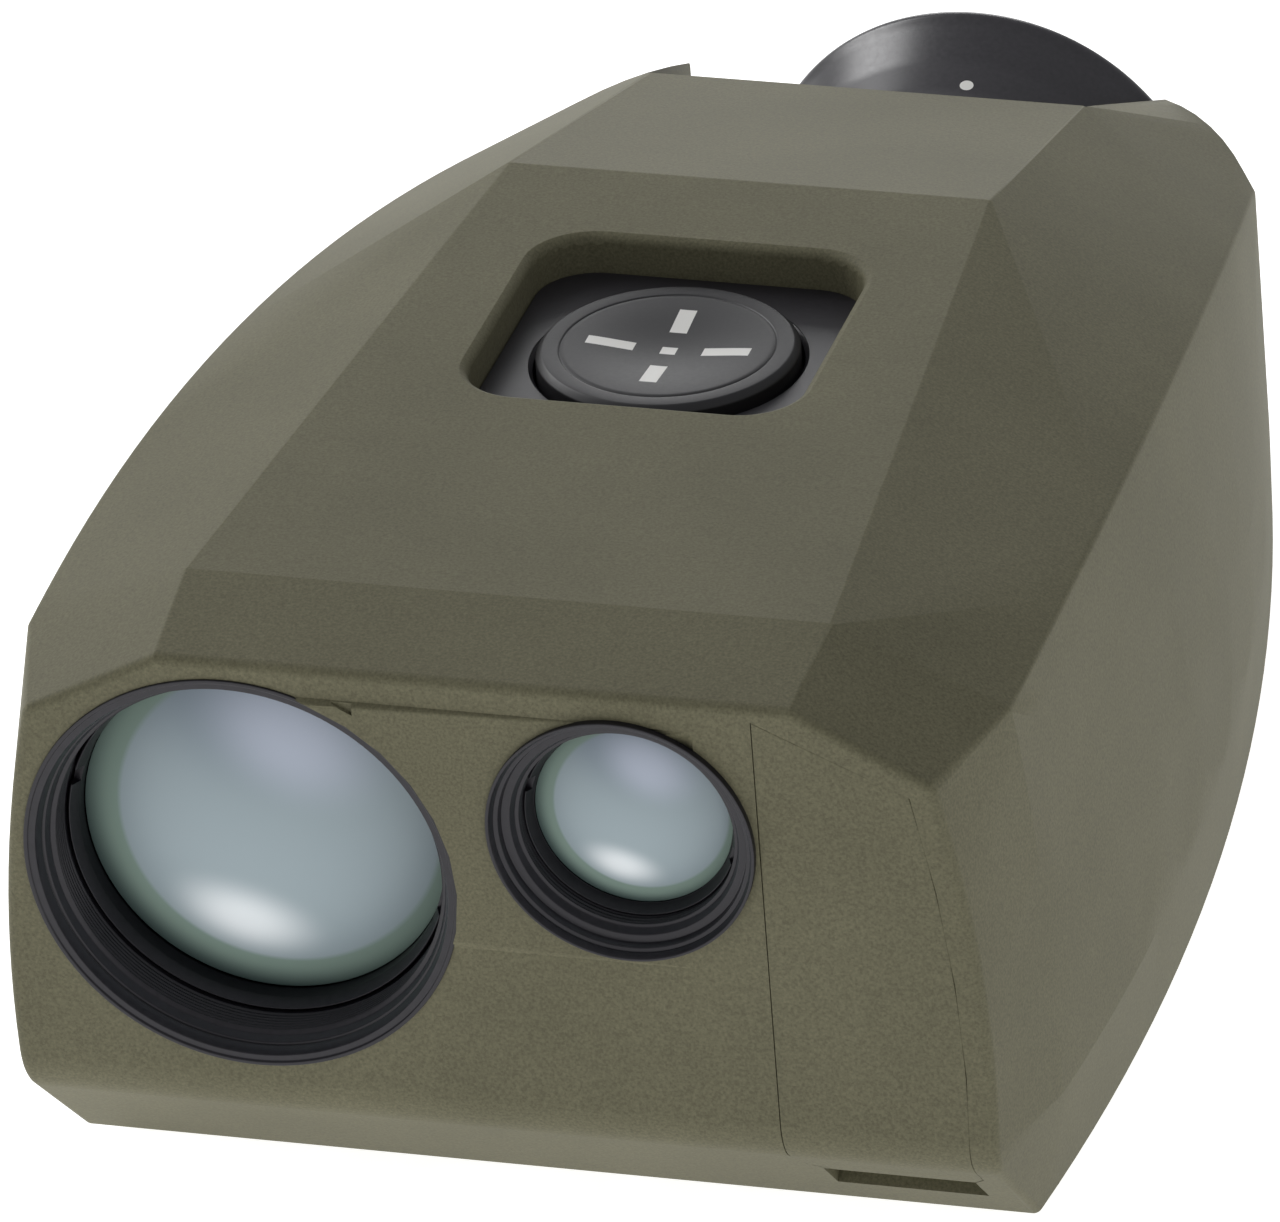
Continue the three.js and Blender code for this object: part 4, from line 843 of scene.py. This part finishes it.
def plain_material(name, dark, pale, low, high, metallic, size_mm, strength):
    """Two shades and two roughnesses spread by one noise of a real grain size."""
    material, tree, shader, where = new_material(name)
    noise = add(tree, "ShaderNodeTexNoise", {"Vector": where, "Scale": per_metre(size_mm), "Detail": 3.0})
    colours = add(tree, "ShaderNodeValToRGB", {"Fac": noise.outputs["Fac"]})
    colours.color_ramp.elements[0].color = linear(dark)
    colours.color_ramp.elements[1].color = linear(pale)
    gloss = add(tree, "ShaderNodeMapRange", {"Value": noise.outputs["Fac"], "To Min": low, "To Max": high})
    relief = add(
        tree,
        "ShaderNodeBump",
        {"Strength": strength, "Distance": 0.02 * MM, "Height": noise.outputs["Fac"]},
    )
    tree.links.new(colours.outputs["Color"], shader.inputs["Base Color"])
    tree.links.new(gloss.outputs["Result"], shader.inputs["Roughness"])
    tree.links.new(relief.outputs["Normal"], shader.inputs["Normal"])
    settle(shader, Metallic=metallic)
    return material


steel = plain_material("stainless_steel_machined", "#85847f", "#b0aea8", 0.22, 0.4, 1.0, 0.4, 0.2)
brass = plain_material("brass_turned", "#9b7a3d", "#c7a25c", 0.2, 0.38, 1.0, 0.4, 0.2)
rubber = plain_material("nitrile_rubber_moulded", "#121212", "#1f1f1e", 0.6, 0.8, 0.0, 0.5, 0.3)
circuit = plain_material("solder_masked_glass_epoxy", "#123f2b", "#1f5c3e", 0.25, 0.45, 0.0, 0.7, 0.2)
aluminium = plain_material("aluminium_milled", "#8f9192", "#b4b6b7", 0.3, 0.5, 1.0, 0.5, 0.3)
film = plain_material("polyimide_film_laminated", "#7a4514", "#9c6222", 0.2, 0.35, 0.0, 0.8, 0.1)
wrap = plain_material("printed_foil_cell_wrap", "#2e2f31", "#434447", 0.25, 0.4, 0.2, 1.2, 0.1)
sleeve = plain_material("shrunk_vinyl_sleeve", "#1d2440", "#2b3558", 0.2, 0.35, 0.0, 0.8, 0.1)
clear = plain_material("optical_glass_polished", "#93a0a4", "#a9b5b8", 0.03, 0.07, 0.0, 3.0, 0.0)

repaint(steel, *[f"base_screw_{i}" for i in (1, 2, 3, 4)], *[f"rear_screw_{i}" for i in (1, 2, 3)])
repaint(steel, "bulkhead_screw_1", "bulkhead_screw_2", "button_switch", "detector_can", "contact_spring")
repaint(brass, "tripod_bush", "laser_module", "flap_contact", "contact_button")
repaint(rubber, "base_gasket", "flap_seal", "receiver_seal", "sight_seal", "eyepiece_seal", "button_membrane")
repaint(circuit, "main_board", "switch_board", "detector_board", "contact_board")
repaint(aluminium, "front_bulkhead", "prism_cradle")
repaint(film, "detector_flex")
repaint(wrap, "battery_cell_upper", "battery_cell_lower")
repaint(sleeve, "pulse_capacitor")
repaint(clear, "eye_lens", "field_lens", "beam_splitter", "erecting_prism", "reticle_cube")

# ---- The studio -----------------------------------------------------------------------
# A pale diffusing table lit from below, a bright even room, and two large soft lamps: one
# high on the left and one low behind, which grazes the roof.

floor = object_from("floor", [(-4, -4, 0), (4, -4, 0), (4, 4, 0), (-4, 4, 0)], [[0, 1, 2, 3]])
paper, tree, shader, where = new_material("matt_backdrop_paper")
fibres = add(tree, "ShaderNodeTexNoise", {"Vector": where, "Scale": per_metre(4), "Detail": 3.0})
tone = add(tree, "ShaderNodeValToRGB", {"Fac": fibres.outputs["Fac"]})
tone.color_ramp.elements[0].color = linear("#e6e6e5")
tone.color_ramp.elements[1].color = linear("#ececeb")
tree.links.new(tone.outputs["Color"], shader.inputs["Base Color"])
tree.links.new(tone.outputs["Color"], shader.inputs["Emission Color"])
settle(shader, Roughness=0.9, Emission_Strength=1.1)
floor.data.materials.append(paper)


def lamp(name, where, aim, size, power, colour):
    """A square soft lamp at where, facing aim."""
    light = bpy.data.objects.new(name, bpy.data.lights.new(name, "AREA"))
    light.data.size, light.data.energy = size, power
    light.data.color = linear(colour)[:3]
    light.location = where
    light.rotation_euler = (Vector(aim) - Vector(where)).to_track_quat("-Z", "Y").to_euler()
    bpy.context.scene.collection.objects.link(light)


lamp("key_left", (-1.1, 0.5, 0.8), (0, 0, 0.02), 0.6, 10, "#ffffff")
lamp("back_low", (-0.35, 1.4, 0.33), (0, 0, 0.03), 0.6, 3.5, "#ffffff")

room = bpy.data.worlds.new("room")
bpy.context.scene.world = room
room.use_nodes = True
room.node_tree.nodes["Background"].inputs["Color"].default_value = linear("#f4f5f7")
room.node_tree.nodes["Background"].inputs["Strength"].default_value = 0.48
bpy.context.scene.view_settings.view_transform = "Standard"
